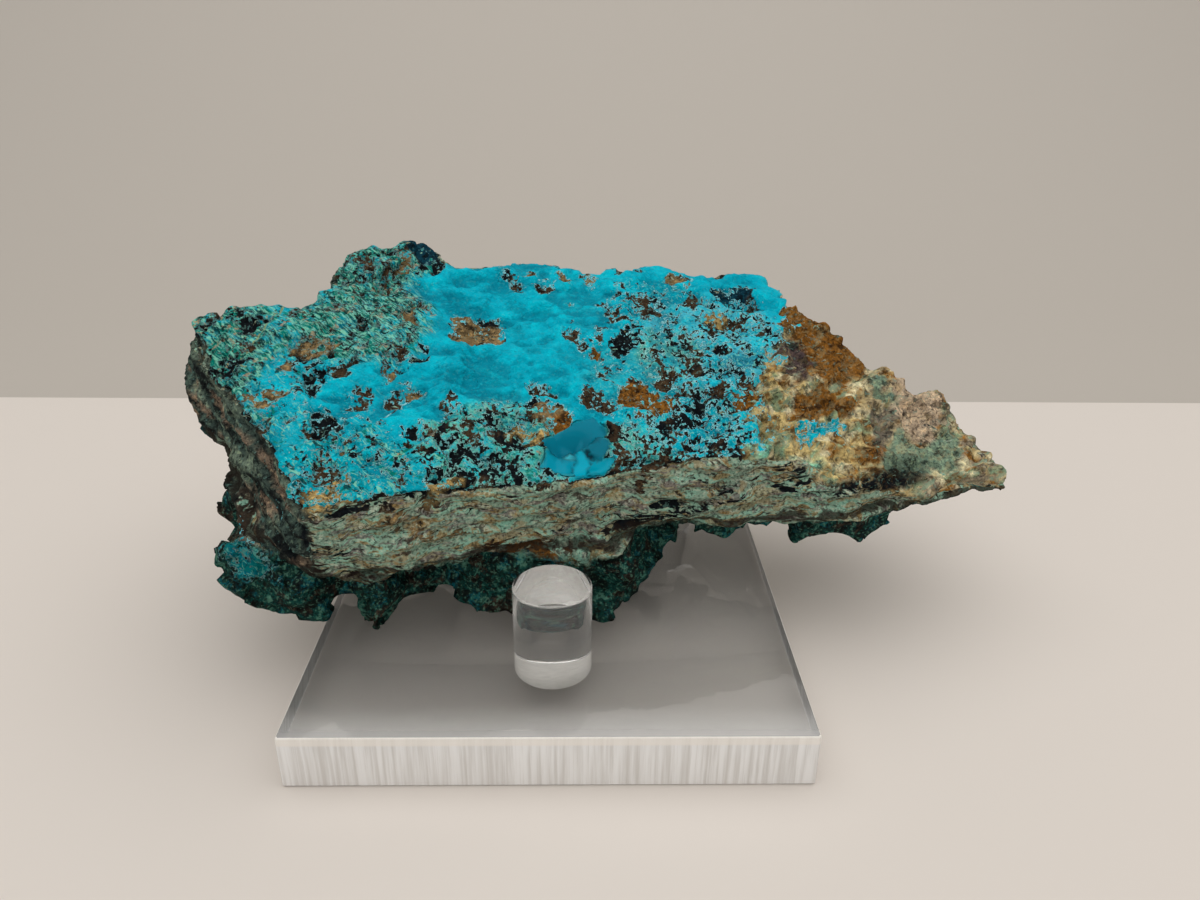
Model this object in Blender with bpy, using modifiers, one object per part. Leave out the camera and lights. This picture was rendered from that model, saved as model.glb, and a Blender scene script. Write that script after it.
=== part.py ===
"""Chrysocolla specimen leaning on a clear stand with three round pegs.

World frame: +X to the right, +Y to the back, +Z up, origin at the centre of the plate's underside.
The rock is shaped in its own bedding frame, in which u runs along its front edge, v up the dip and
w across the bedding. The object's location and rotation then lay it on the pegs.
"""

import math
from dataclasses import dataclass

import bmesh
import bpy
from mathutils import Euler, Matrix, Vector, noise

MM = 0.001

# Gap between pieces that touch
REST_GAP = 0.3 * MM

# Stand
PLATE_SIDE = 101.6 * MM
PLATE_THICKNESS = 11.8 * MM
PLATE_BEVEL = 0.5 * MM
PEG_DIAMETER = 15.9 * MM
PEG_TOP = 31.5 * MM
PEG_BEVEL = 0.4 * MM
PEG_SIDES = 48
FRONT_PEG = (0.0, -29.9 * MM)
REAR_PEG_SPREAD = 27.0 * MM
REAR_PEG_BACK = 32.0 * MM

# Finishes
ACRYLIC_COLOUR = (0.94, 0.95, 0.95)
ACRYLIC_ROUGHNESS = 0.05
ACRYLIC_IOR = 1.49
ROCK_COLOUR = (0.03, 0.42, 0.50)
ROCK_ROUGHNESS = 0.65

# Where the rock lies, and how its bedding is turned and tipped
ROCK_LOCATION = (-0.8 * MM, -19.3 * MM, 33.0 * MM)
BEDDING_DIP = math.radians(18.0)
BEDDING_TURN = math.radians(15.5)

# Rock, in millimetres of the bedding frame. Each outline is the foot of its layer.
SLAB_THICKNESS = 18.0
SLAB_FRONT_LEAN = 4.6
SLAB_BACK_LEAN = 5.0
SLAB_OUTLINE = (
    (-52.5, 7), (-49.5, 1.6), (-45.5, -1.6), (-41, -2.6), (-33, -2), (-20, -0.4), (0, -0.3),
    (15, 0.6), (31, -1), (47, -1.4), (60, -3.4), (76, -4.4), (93, -3.3), (109, -3.8), (111.5, -1.5),
    (111, 10), (110.5, 20), (109, 30), (100, 33), (95.5, 36), (90.5, 40), (87, 47), (81, 53),
    (76.5, 58), (78.5, 66), (75, 75), (62, 77.5), (52, 81.5), (45, 85.5), (31, 84), (12, 91.5),
    (-3, 91), (-10, 92), (-14, 95), (-22, 94.5), (-31, 93), (-37, 89), (-43, 81), (-49, 76),
    (-58, 73.5), (-68, 74), (-73.5, 68), (-71.5, 57), (-66, 44), (-62.5, 33.5), (-59, 25),
    (-55.5, 14.5),
)

LOWER_DEPTH = 16.0
LOWER_REACH = 2.0
LOWER_FRONT_LEAN = 7.0
LOWER_BACK_LEAN = -8.0
LOWER_OUTLINE = (
    (-66.8, 15), (-64, 9.5), (-58.5, 7.5), (-52.8, 3.5), (-45.2, 0.8), (-42, 5.5), (-39.5, 6),
    (-37, -4.8), (-34.4, -4.8), (-31, 2.4), (-24.5, 5.5), (-17, -1), (-10.8, -3.6), (-2, -5),
    (7, -7), (11.2, -9.2), (16.3, -6.4), (24, -1.2), (36.2, 10), (47, 15), (55, 28), (52, 44),
    (38, 54), (18, 60), (0, 66), (-16, 71), (-33, 72), (-49, 66), (-57, 56), (-60, 44),
    (-61.5, 33), (-64.5, 27), (-67, 23),
)

# The upper face is level with the bedding on the left and falls to the right from the crest line
CREST_START = (43.0, 3.0)
CREST_HEIGHT = 17.2
SLOPE_ALONG_EDGE = -0.27
SLOPE_UP_DIP = 0.25
TIP_HEIGHT = 3.9
TIP_SLOPE = 0.13
CREST_BLEND = 2.5

# Relief
VOXEL = 1.15
DUNE_LENGTH = (17.0, 11.0, 11.0)
DUNE_HEIGHT = 1.1
CRUST_LENGTH = 5.5
CRUST_HEIGHT = 0.7
LEDGE_LENGTH = (20.0, 20.0, 3.2)
LEDGE_DEPTH = 2.0
FACET_SIZE = (10.0, 8.0, 7.0)
FACET_STEP = 1.4
FACET_TILT = 2.5
CHIP_SIZE = 4.0
CHIP_DEPTH = 0.7
ROCK_TRIANGLES = 7900

# Where the faces along the bedding, the sides and the lower layer begin and end
UPPER_NORMAL = (0.6, 0.9)
SIDE_NORMAL = (0.45, 0.8)
LOWER_LAYER_BAND = (-3.0, 0.5)
SWELLING_RIM = (0.35, 1.15)

# Steps from facet to facet through the cell noise
TILT_STRIDE = 23.0
STEP_STRIDE = 31.0

# Room that the rock leaves around the top of each peg
SEAT_MARGIN = 2.2 * MM
SEAT_FLARE = 1.3
FRONT_SEAT_HALF_WIDTH = 11.0 * MM


@dataclass(frozen=True)
class Lump:
    """A block or boulder grown onto the rock, in millimetres of the bedding frame."""

    place: tuple
    half_size: tuple
    turn: tuple = (0, 0, 0)
    rounded: bool = False


@dataclass(frozen=True)
class Swelling:
    """A soft rise or, with a negative height, a hollow of the surface, in millimetres."""

    place: tuple
    half_size: tuple
    height: float
    turn: float = 0


LUMPS = (
    # Dark lumps on the rim at the top left
    Lump((-26, 84, 15.5), (12, 7, 6.8), (0, 4, 14), True),
    Lump((-15.5, 86.5, 17.5), (5, 4.2, 4.2), (20, 12, 30)),
    # Blocks that stand out of the left end, under the slab
    Lump((-60.3, 32.5, -6), (4.2, 4.2, 6), (8, 0, 42)),
    Lump((-58.5, 17.5, -9), (8.5, 9, 7), (0, 12, 15), True),
    Lump((-50, 12, -10), (7, 7, 6.5), (15, 0, 30)),
    # Tooth at the front left and the block beside the front peg
    Lump((-35.6, 2.5, -11.5), (3.4, 4, 6), (0, 16, 45)),
    Lump((14, 2, -11), (8, 8, 5.5), (0, 10, 40)),
    # Heel that leans on the front peg
    Lump((1, -0.5, -8), (8, 5.5, 6.5), (-17, -5, -15)),
    # Keel and teeth under the right half of the slab
    Lump((39.5, 5.5, -4), (6.5, 5.5, 4), (0, 12, 5), True),
    Lump((49, 4, -1.5), (3.5, 3.5, 3), (0, 20, 30)),
    Lump((72, 4.5, -5), (13, 6.5, 5.2), (-6, -9, -4)),
    Lump((90, 15, -1), (10, 8, 3.5), (0, 12, 20), True),
    # Broken ground at the back, and the feet that reach down to the rear pegs
    Lump((12, 80, 0), (17, 9, 8), (12, 4, 6)),
    Lump((54, 66, -1), (13, 9, 6), (-10, 6, -22)),
    Lump((-44, 70, -5), (14, 8, 8), (8, -8, 14)),
    Lump((-11, 54, -14), (13, 11, 6), (0, 5, 10), True),
    Lump((40, 40, -12), (12, 11, 5), (0, -6, 25), True),
)

SWELLINGS = (
    # Green shoulder left of the smooth basin
    Swelling((-30, 58), (15, 26), 1.8, 12),
    Swelling((-52, 62), (13, 9), 1.2, -10),
    # Smooth basin and the soft scarps in it
    Swelling((0, 58), (20, 22), -1.3, 0),
    Swelling((-13, 42), (3.5, 16), 1.1, -24),
    Swelling((9, 36), (4, 15), 0.9, 38),
    # Broken hollows
    Swelling((-61.5, 49), (5, 6), -2.0, 20),
    Swelling((64, 60), (8, 4.5), -3.0, -15),
    Swelling((-43.8, 41), (2.8, 7.5), -1.6, 4),
    Swelling((30, 41), (4, 6), -1.5, 25),
    Swelling((-41.5, 13), (4, 4), -1.4, 0),
    # Glassy chip in the front edge, and the coarse ground on both sides of it
    Swelling((6, 9), (8.5, 8), -3.0, 12),
    Swelling((-10, 17), (14, 8), -1.0, 10),
    Swelling((49, 21), (6, 5), -1.2, 20),
    # Knobs along the falling right rim
    Swelling((84, 46), (5, 5), 1.5, 0),
    Swelling((95, 31), (7, 5), 2.4, 30),
    Swelling((105, 24), (6, 6), 2.4, 0),
)


def clear_scene():
    """Remove what the scene holds before the build."""
    for item in list(bpy.data.objects):
        bpy.data.objects.remove(item, do_unlink=True)


def new_collection(name):
    """Return a new collection linked to the scene."""
    collection = bpy.data.collections.new(name)
    bpy.context.scene.collection.children.link(collection)
    return collection


def new_material(name, colour, roughness, transmission=0.0, refraction=1.5):
    """Return a Principled material."""
    material = bpy.data.materials.new(name)
    material.use_nodes = True
    shader = material.node_tree.nodes["Principled BSDF"]
    shader.inputs["Base Color"].default_value = (*colour, 1.0)
    shader.inputs["Roughness"].default_value = roughness
    shader.inputs["Metallic"].default_value = 0.0
    shader.inputs["Transmission Weight"].default_value = transmission
    shader.inputs["IOR"].default_value = refraction
    material.diffuse_color = (*colour, 1.0)
    return material


def new_object(name, mesh, collection, material=None):
    """Return an object that shows a mesh, linked to a collection."""
    item = bpy.data.objects.new(name, mesh)
    collection.objects.link(item)
    if material:
        mesh.materials.append(material)
    return item


def evaluated_mesh(item):
    """Return a new mesh of an object with its modifiers applied."""
    bpy.context.view_layer.update()
    graph = bpy.context.evaluated_depsgraph_get()
    return bpy.data.meshes.new_from_object(item.evaluated_get(graph))


def add_bevel(item, width, segments):
    """Round an object's sharp edges."""
    bevel = item.modifiers.new("rounded edges", "BEVEL")
    bevel.width = width
    bevel.segments = segments
    bevel.limit_method = "ANGLE"


def smooth_step(low, high, value):
    """Return 0 below low, 1 above high and a smooth blend between them."""
    share = min(max((value - low) / (high - low), 0.0), 1.0)
    return share * share * (3.0 - 2.0 * share)


def smooth_minimum(first, second, blend):
    """Return the smaller of two values, rounded where they cross."""
    share = max(blend - abs(first - second), 0.0) / blend
    return min(first, second) - share * share * blend * 0.25


# Stand

def make_plate(collection, material):
    """Build the square base plate, which rests on the ground."""
    mesh = bpy.data.meshes.new("stand_base")
    form = bmesh.new()
    bmesh.ops.create_cube(form, size=1.0)
    bmesh.ops.scale(form, vec=(PLATE_SIDE, PLATE_SIDE, PLATE_THICKNESS), verts=form.verts)
    form.to_mesh(mesh)
    form.free()
    plate = new_object("stand_base", mesh, collection, material)
    plate.location = (0.0, 0.0, PLATE_THICKNESS / 2)
    add_bevel(plate, PLATE_BEVEL, 2)
    return plate


def make_peg(name, place, collection, material):
    """Build one round peg that stands on the plate."""
    bottom = PLATE_THICKNESS + REST_GAP
    height = PEG_TOP - bottom
    radius = PEG_DIAMETER / 2
    mesh = bpy.data.meshes.new(name)
    form = bmesh.new()
    bmesh.ops.create_cone(
        form, cap_ends=True, segments=PEG_SIDES, radius1=radius, radius2=radius, depth=height
    )
    form.to_mesh(mesh)
    form.free()
    mesh.shade_smooth()
    mesh.set_sharp_from_angle(angle=math.radians(40))
    peg = new_object(name, mesh, collection, material)
    peg.location = (*place, bottom + height / 2)
    add_bevel(peg, PEG_BEVEL, 1)
    return peg


# Rock

def outward_normals(outline):
    """Return the outward direction at each point of a counter-clockwise outline."""
    normals = []
    for index, _ in enumerate(outline):
        before = Vector(outline[index - 1])
        after = Vector(outline[(index + 1) % len(outline)])
        along = (after - before).normalized()
        normals.append(Vector((along.y, -along.x)))
    return normals


def add_layer(form, outline, low, high, front_lean, back_lean):
    """Add one layer: its outline raised from low to high, with its sides leaning in by the leans."""
    base = [form.verts.new((u, v, low)) for u, v in outline]
    lid = []
    for (u, v), normal in zip(outline, outward_normals(outline)):
        inset = front_lean * max(-normal.x, -normal.y, 0.0) + back_lean * max(normal.y, 0.0)
        lid.append(form.verts.new((u - normal.x * inset, v - normal.y * inset, high)))
    form.faces.new(base[::-1])
    form.faces.new(lid)
    count = len(base)
    for index in range(count):
        following = (index + 1) % count
        form.faces.new((base[index], base[following], lid[following], lid[index]))


def add_lump(form, lump):
    """Add one block or boulder."""
    turn = Euler([math.radians(angle) for angle in lump.turn]).to_matrix().to_4x4()
    place = Matrix.Translation(lump.place) @ turn @ Matrix.Diagonal((*lump.half_size, 1.0))
    if lump.rounded:
        bmesh.ops.create_icosphere(form, subdivisions=3, radius=1.0, matrix=place)
    else:
        bmesh.ops.create_cube(form, size=2.0, matrix=place)


def fused(mesh):
    """Return a mesh's overlapping closed forms as one closed surface of even facets."""
    item = bpy.data.objects.new("form", mesh)
    bpy.context.scene.collection.objects.link(item)
    remesh = item.modifiers.new("fused", "REMESH")
    remesh.mode = "VOXEL"
    remesh.voxel_size = VOXEL
    surface = evaluated_mesh(item)
    bpy.data.objects.remove(item)
    return surface


def rock_form():
    """Return one closed mesh of the layers and lumps, in millimetres."""
    mesh = bpy.data.meshes.new("rock form")
    form = bmesh.new()
    add_layer(form, SLAB_OUTLINE, 0.0, SLAB_THICKNESS, SLAB_FRONT_LEAN, SLAB_BACK_LEAN)
    add_layer(
        form, LOWER_OUTLINE, -LOWER_DEPTH, LOWER_REACH, LOWER_FRONT_LEAN, LOWER_BACK_LEAN
    )
    for lump in LUMPS:
        add_lump(form, lump)
    form.to_mesh(mesh)
    form.free()
    return fused(mesh)


def upper_height(u, v):
    """Return the height of the slab's upper face over its bedding plane."""
    along = u - CREST_START[0]
    up_dip = v - CREST_START[1]
    fall = CREST_HEIGHT + SLOPE_ALONG_EDGE * along + SLOPE_UP_DIP * up_dip
    tip = TIP_HEIGHT + TIP_SLOPE * up_dip
    slope = -smooth_minimum(-fall, -tip, CREST_BLEND)
    return smooth_minimum(SLAB_THICKNESS, slope, CREST_BLEND)


def swelling_height(point):
    """Return the sum of the soft rises and hollows at a point of the upper face."""
    total = 0.0
    for swelling in SWELLINGS:
        offset = Vector((point.x - swelling.place[0], point.y - swelling.place[1]))
        offset.rotate(Matrix.Rotation(-math.radians(swelling.turn), 2))
        reach = Vector((offset.x / swelling.half_size[0], offset.y / swelling.half_size[1])).length
        total += swelling.height * (1.0 - smooth_step(*SWELLING_RIM, reach))
    return total


def scaled(point, lengths):
    """Return a point measured in units of a length for each axis."""
    return Vector([value / length for value, length in zip(point, lengths)])


def facet_height(point):
    """Return the height of broken, flat-faced ground: each cell is a tilted facet of its own."""
    place = scaled(point, FACET_SIZE)
    centre = noise.voronoi(place)[1][0]
    tilt = noise.cell_vector(centre * TILT_STRIDE) - Vector((0.5, 0.5, 0.5))
    step = noise.cell(centre * STEP_STRIDE) - 0.5
    return FACET_STEP * step + FACET_TILT * tilt.dot(place - centre)


def relief(point, normal):
    """Return how far the weathered surface stands out of the plain form."""
    upper = smooth_step(*UPPER_NORMAL, normal.z)
    side = 1.0 - smooth_step(*SIDE_NORMAL, abs(normal.z))
    below = 1.0 - smooth_step(*LOWER_LAYER_BAND, point.z)
    dunes = DUNE_HEIGHT * noise.noise(scaled(point, DUNE_LENGTH))
    crust = CRUST_HEIGHT * noise.noise(point / CRUST_LENGTH)
    ledges = LEDGE_DEPTH * noise.noise(scaled(point, LEDGE_LENGTH)) * side * (1.0 - below)
    facets = facet_height(point) * below
    chips = CHIP_DEPTH * noise.noise(point / CHIP_SIZE) * below
    return dunes + crust + ledges + facets + chips + swelling_height(point) * upper


def weather(mesh):
    """Thin the slab toward its tip and move each point of the surface by the relief."""
    form = bmesh.new()
    form.from_mesh(mesh)
    for vert in form.verts:
        if vert.co.z > 0.0:
            vert.co.z *= upper_height(vert.co.x, vert.co.y) / SLAB_THICKNESS
    form.normal_update()
    moved = [vert.co + vert.normal * relief(vert.co, vert.normal) for vert in form.verts]
    for vert, place in zip(form.verts, moved):
        vert.co = place
    form.to_mesh(mesh)
    form.free()


def seat_on_pegs(point, peg_places):
    """Return a world point moved clear of the pegs, so that the rock touches them and no more."""
    radius = PEG_DIAMETER / 2
    front, *rear = peg_places
    for place in rear:
        outside = (point.xy - Vector(place)).length - radius - SEAT_MARGIN
        point.z = max(point.z, PEG_TOP + REST_GAP - max(outside, 0.0) * SEAT_FLARE)
    beside = max(abs(point.x - front[0]) - FRONT_SEAT_HALF_WIDTH, 0.0)
    above = max(point.z - PEG_TOP - REST_GAP - SEAT_MARGIN, 0.0)
    rear_of_peg = front[1] + radius + REST_GAP
    point.y = max(point.y, rear_of_peg - (beside + above) * SEAT_FLARE)
    return point


def make_rock(peg_places, collection, material):
    """Build the rock as one closed, faceted solid."""
    mesh = rock_form()
    weather(mesh)
    mesh = fused(mesh)
    mesh.transform(Matrix.Scale(MM, 4))
    lie = Matrix.LocRotScale(ROCK_LOCATION, Euler((BEDDING_DIP, 0.0, BEDDING_TURN)), None)
    back = lie.inverted()
    for vert in mesh.vertices:
        vert.co = back @ seat_on_pegs(lie @ vert.co, peg_places)
    rock = new_object("chrysocolla_rock", mesh, collection, material)
    mesh.name = "chrysocolla_rock"
    rock.matrix_world = lie
    mesh.calc_loop_triangles()
    thin = rock.modifiers.new("facets", "DECIMATE")
    thin.ratio = ROCK_TRIANGLES / len(mesh.loop_triangles)
    thin.use_collapse_triangulate = True
    return rock


def main():
    """Build the stand and the rock."""
    clear_scene()
    parts = new_collection("chrysocolla")
    clear = new_material("clear acrylic", ACRYLIC_COLOUR, ACRYLIC_ROUGHNESS, 1.0, ACRYLIC_IOR)
    mineral = new_material("chrysocolla", ROCK_COLOUR, ROCK_ROUGHNESS)
    pegs = {
        "peg_front": FRONT_PEG,
        "peg_rear_left": (-REAR_PEG_SPREAD, REAR_PEG_BACK),
        "peg_rear_right": (REAR_PEG_SPREAD, REAR_PEG_BACK),
    }
    make_plate(parts, clear)
    for name, place in pegs.items():
        make_peg(name, place, parts, clear)
    make_rock(list(pegs.values()), parts, mineral)


main()
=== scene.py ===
"""Looks of a chrysocolla specimen that leans on a clear acrylic stand.

The rock is a fine mesh grown from its solid: crust, bare ground, bedding ledges and broken facets are
laid over it in its own bedding frame, where u runs along the front edge, v up the dip and w across the
bedding, all in millimetres. The plate and pegs are polished acrylic with sawn edges.
"""

import logging
import math
from dataclasses import dataclass, field
from enum import Enum

import bmesh
import bpy
import numpy as np
from mathutils import Euler, Matrix, Vector, noise


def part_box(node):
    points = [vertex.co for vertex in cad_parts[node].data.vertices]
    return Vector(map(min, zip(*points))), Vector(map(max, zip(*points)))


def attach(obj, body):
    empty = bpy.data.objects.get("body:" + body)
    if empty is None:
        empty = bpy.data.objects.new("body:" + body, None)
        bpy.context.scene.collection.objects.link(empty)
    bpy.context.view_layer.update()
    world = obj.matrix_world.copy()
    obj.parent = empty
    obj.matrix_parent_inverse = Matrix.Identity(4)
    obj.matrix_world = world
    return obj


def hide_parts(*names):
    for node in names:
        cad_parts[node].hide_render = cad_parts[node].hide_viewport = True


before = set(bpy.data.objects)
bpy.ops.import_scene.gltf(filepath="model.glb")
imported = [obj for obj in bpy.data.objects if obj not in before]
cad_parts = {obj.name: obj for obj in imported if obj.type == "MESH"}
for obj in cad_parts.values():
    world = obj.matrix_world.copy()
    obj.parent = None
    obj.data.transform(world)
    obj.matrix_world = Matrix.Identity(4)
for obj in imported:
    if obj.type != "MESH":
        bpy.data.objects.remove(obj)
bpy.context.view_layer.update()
LOG = logging.getLogger("specimen")
MM = 0.001

Colour = tuple[float, float, float]
Array = np.ndarray


def tone(red: int, green: int, blue: int) -> Colour:
    """Return a display colour of 0 to 255 as the linear colour that shaders use.

    Args:
        red: Red part.
        green: Green part.
        blue: Blue part.

    Returns:
        The three linear parts.
    """
    parts = []
    for part in (red, green, blue):
        share = part / 255
        parts.append(share / 12.92 if share < 0.04045 else ((share + 0.055) / 1.055) ** 2.4)
    return tuple(parts)


class Ground(Enum):
    """What shows at a place of the rock.

    Each has its colour, how deep it lies under the crust, and how far it keeps clear of crust, in mm.
    """

    TAN = (tone(126, 106, 74), 0.35, 0.7)
    OCHRE = (tone(160, 136, 88), 0.0, 0.7)
    RUST = (tone(122, 82, 34), 0.5, 0.9)
    BROWN = (tone(68, 54, 40), 0.6, 0.4)
    BLACK = (tone(18, 22, 26), 0.75, 0.6)
    PURPLE = (tone(74, 62, 62), 0.3, 0.9)
    GREY = (tone(112, 104, 92), 0.1, 0.9)
    PINK = (tone(186, 166, 142), 0.0, 0.9)
    SAGE = (tone(118, 140, 120), 0.0, 0.9)
    CRUST = (tone(5, 165, 195), -0.4, 0.9)
    MINT = (tone(120, 196, 172), -0.2, 0.5)
    SLATE = (tone(14, 56, 72), 0.2, 0.7)

    @property
    def colour(self) -> Colour:
        """Return the ground's linear colour."""
        return self.value[0]

    @property
    def depth(self) -> float:
        """Return how far the ground lies under the crust."""
        return self.value[1]

    @property
    def hold(self) -> float:
        """Return how far the ground keeps clear of crust."""
        return self.value[2]


@dataclass(frozen=True)
class Patch:
    """An elliptical patch of one ground, in millimetres of the bedding frame.

    On the upper face its half size runs along u and v, and it turns about w. On a side face it runs
    along u and w, and turns about v.
    """

    ground: Ground
    place: tuple[float, float, float]
    half_size: tuple[float, float]
    turn: float = 0.0
    on_side: bool = False

    def reach(self, points: Array) -> Array:
        """Return how far inside the patch each point is, in millimetres, and negative outside.

        Args:
            points: Points of the bedding frame.

        Returns:
            One signed distance for each point.
        """
        across = 2 if self.on_side else 1
        depth = 1 if self.on_side else 2
        angle = math.radians(self.turn)
        first = points[:, 0] - self.place[0]
        second = points[:, across] - self.place[across]
        along = first * math.cos(angle) + second * math.sin(angle)
        beside = second * math.cos(angle) - first * math.sin(angle)
        radius = np.hypot(along / self.half_size[0], beside / self.half_size[1])
        inside = (1.0 - radius) * min(self.half_size)
        return np.minimum(inside, PATCH_DEPTH - np.abs(points[:, depth] - self.place[depth]))


PATCH_DEPTH = 7.0


@dataclass(frozen=True)
class Zone:
    """A broad part of the upper face where the crust changes its cover and its colour.

    Level is how well the crust covers the ground on average, in millimetres from its broken edge, lively
    how strongly that comes and goes, moss how green and dark its mottling is, and streaks how strongly it
    is brushed with pale and dark lines.
    """

    place: tuple[float, float]
    half_size: tuple[float, float]
    turn: float
    level: float
    lively: float
    tint: Colour
    strength: float
    moss: float = 0.0
    streaks: float = 0.0

    def weight(self, points: Array) -> Array:
        """Return the zone's share at each point.

        Args:
            points: Points of the bedding frame.

        Returns:
            Shares from 0 to 1.
        """
        angle = math.radians(self.turn)
        first = points[:, 0] - self.place[0]
        second = points[:, 1] - self.place[1]
        along = first * math.cos(angle) + second * math.sin(angle)
        beside = second * math.cos(angle) - first * math.sin(angle)
        radius = np.hypot(along / self.half_size[0], beside / self.half_size[1])
        return smooth_step(1.2, 0.75, radius)


def smooth_step(low: float, high: float, values: Array) -> Array:
    """Return 0 at low, 1 at high and a smooth blend between them, for each value."""
    share = np.clip((values - low) / (high - low), 0.0, 1.0)
    return share * share * (3.0 - 2.0 * share)


TURQUOISE = tone(0, 174, 199)
TEAL = tone(0, 142, 152)
MINT_CRUST = tone(96, 192, 166)

ZONES = (
    # Mottled green ground of the left third, and the striated shoulder in it
    Zone((-52, 56), (26, 34), 0, 1.0, 0.7, TEAL, 0.5, 0.75, 0.4),
    Zone((-31, 62), (15, 19), -20, 0.9, 0.7, TEAL, 0.8, 1.0, 1.0),
    Zone((-46, 39), (12, 12), 0, 0.9, 0.6, TURQUOISE, 0.7, 0.3, 0.0),
    Zone((-33, 32), (12, 12), 0, 1.4, 0.35, TURQUOISE, 0.8, 0.1),
    Zone((-62, 56), (10, 20), 0, 0.9, 0.7, TEAL, 0.8, 1.0, 0.6),
    Zone((-25, 84), (15, 9), 5, 0.6, 0.8, TEAL, 0.8, 0.9, 0.6),
    # Coarse mint and black ground along the front edge
    Zone((-9, 13.5), (16, 16), 3, 0.0, 1.2, MINT_CRUST, 0.7, 0.35),
    Zone((18, 8), (9, 9), 0, 0.05, 1.2, MINT_CRUST, 0.7, 0.3),
    Zone((-38, 11), (13, 13), 0, 0.75, 0.75, TEAL, 0.6, 0.4),
    # Lace of crust over dark ground on the right
    Zone((38, 18), (20, 18), 25, 0.14, 1.2, TURQUOISE, 0.0),
    Zone((50, 44), (20, 17), 25, 0.3, 1.15, tone(84, 188, 210), 0.8),
    Zone((40, 60), (15, 13), 0, 0.8, 0.8, TURQUOISE, 0.0),
    Zone((25, 32), (11, 12), 0, 0.9, 0.7, MINT_CRUST, 0.2),
    Zone((37, 42), (8, 9), 0, 0.3, 1.0, MINT_CRUST, 0.7),
    Zone((68, 62), (9, 7), 30, 1.2, 0.4, TURQUOISE, 0.0),
)

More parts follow.
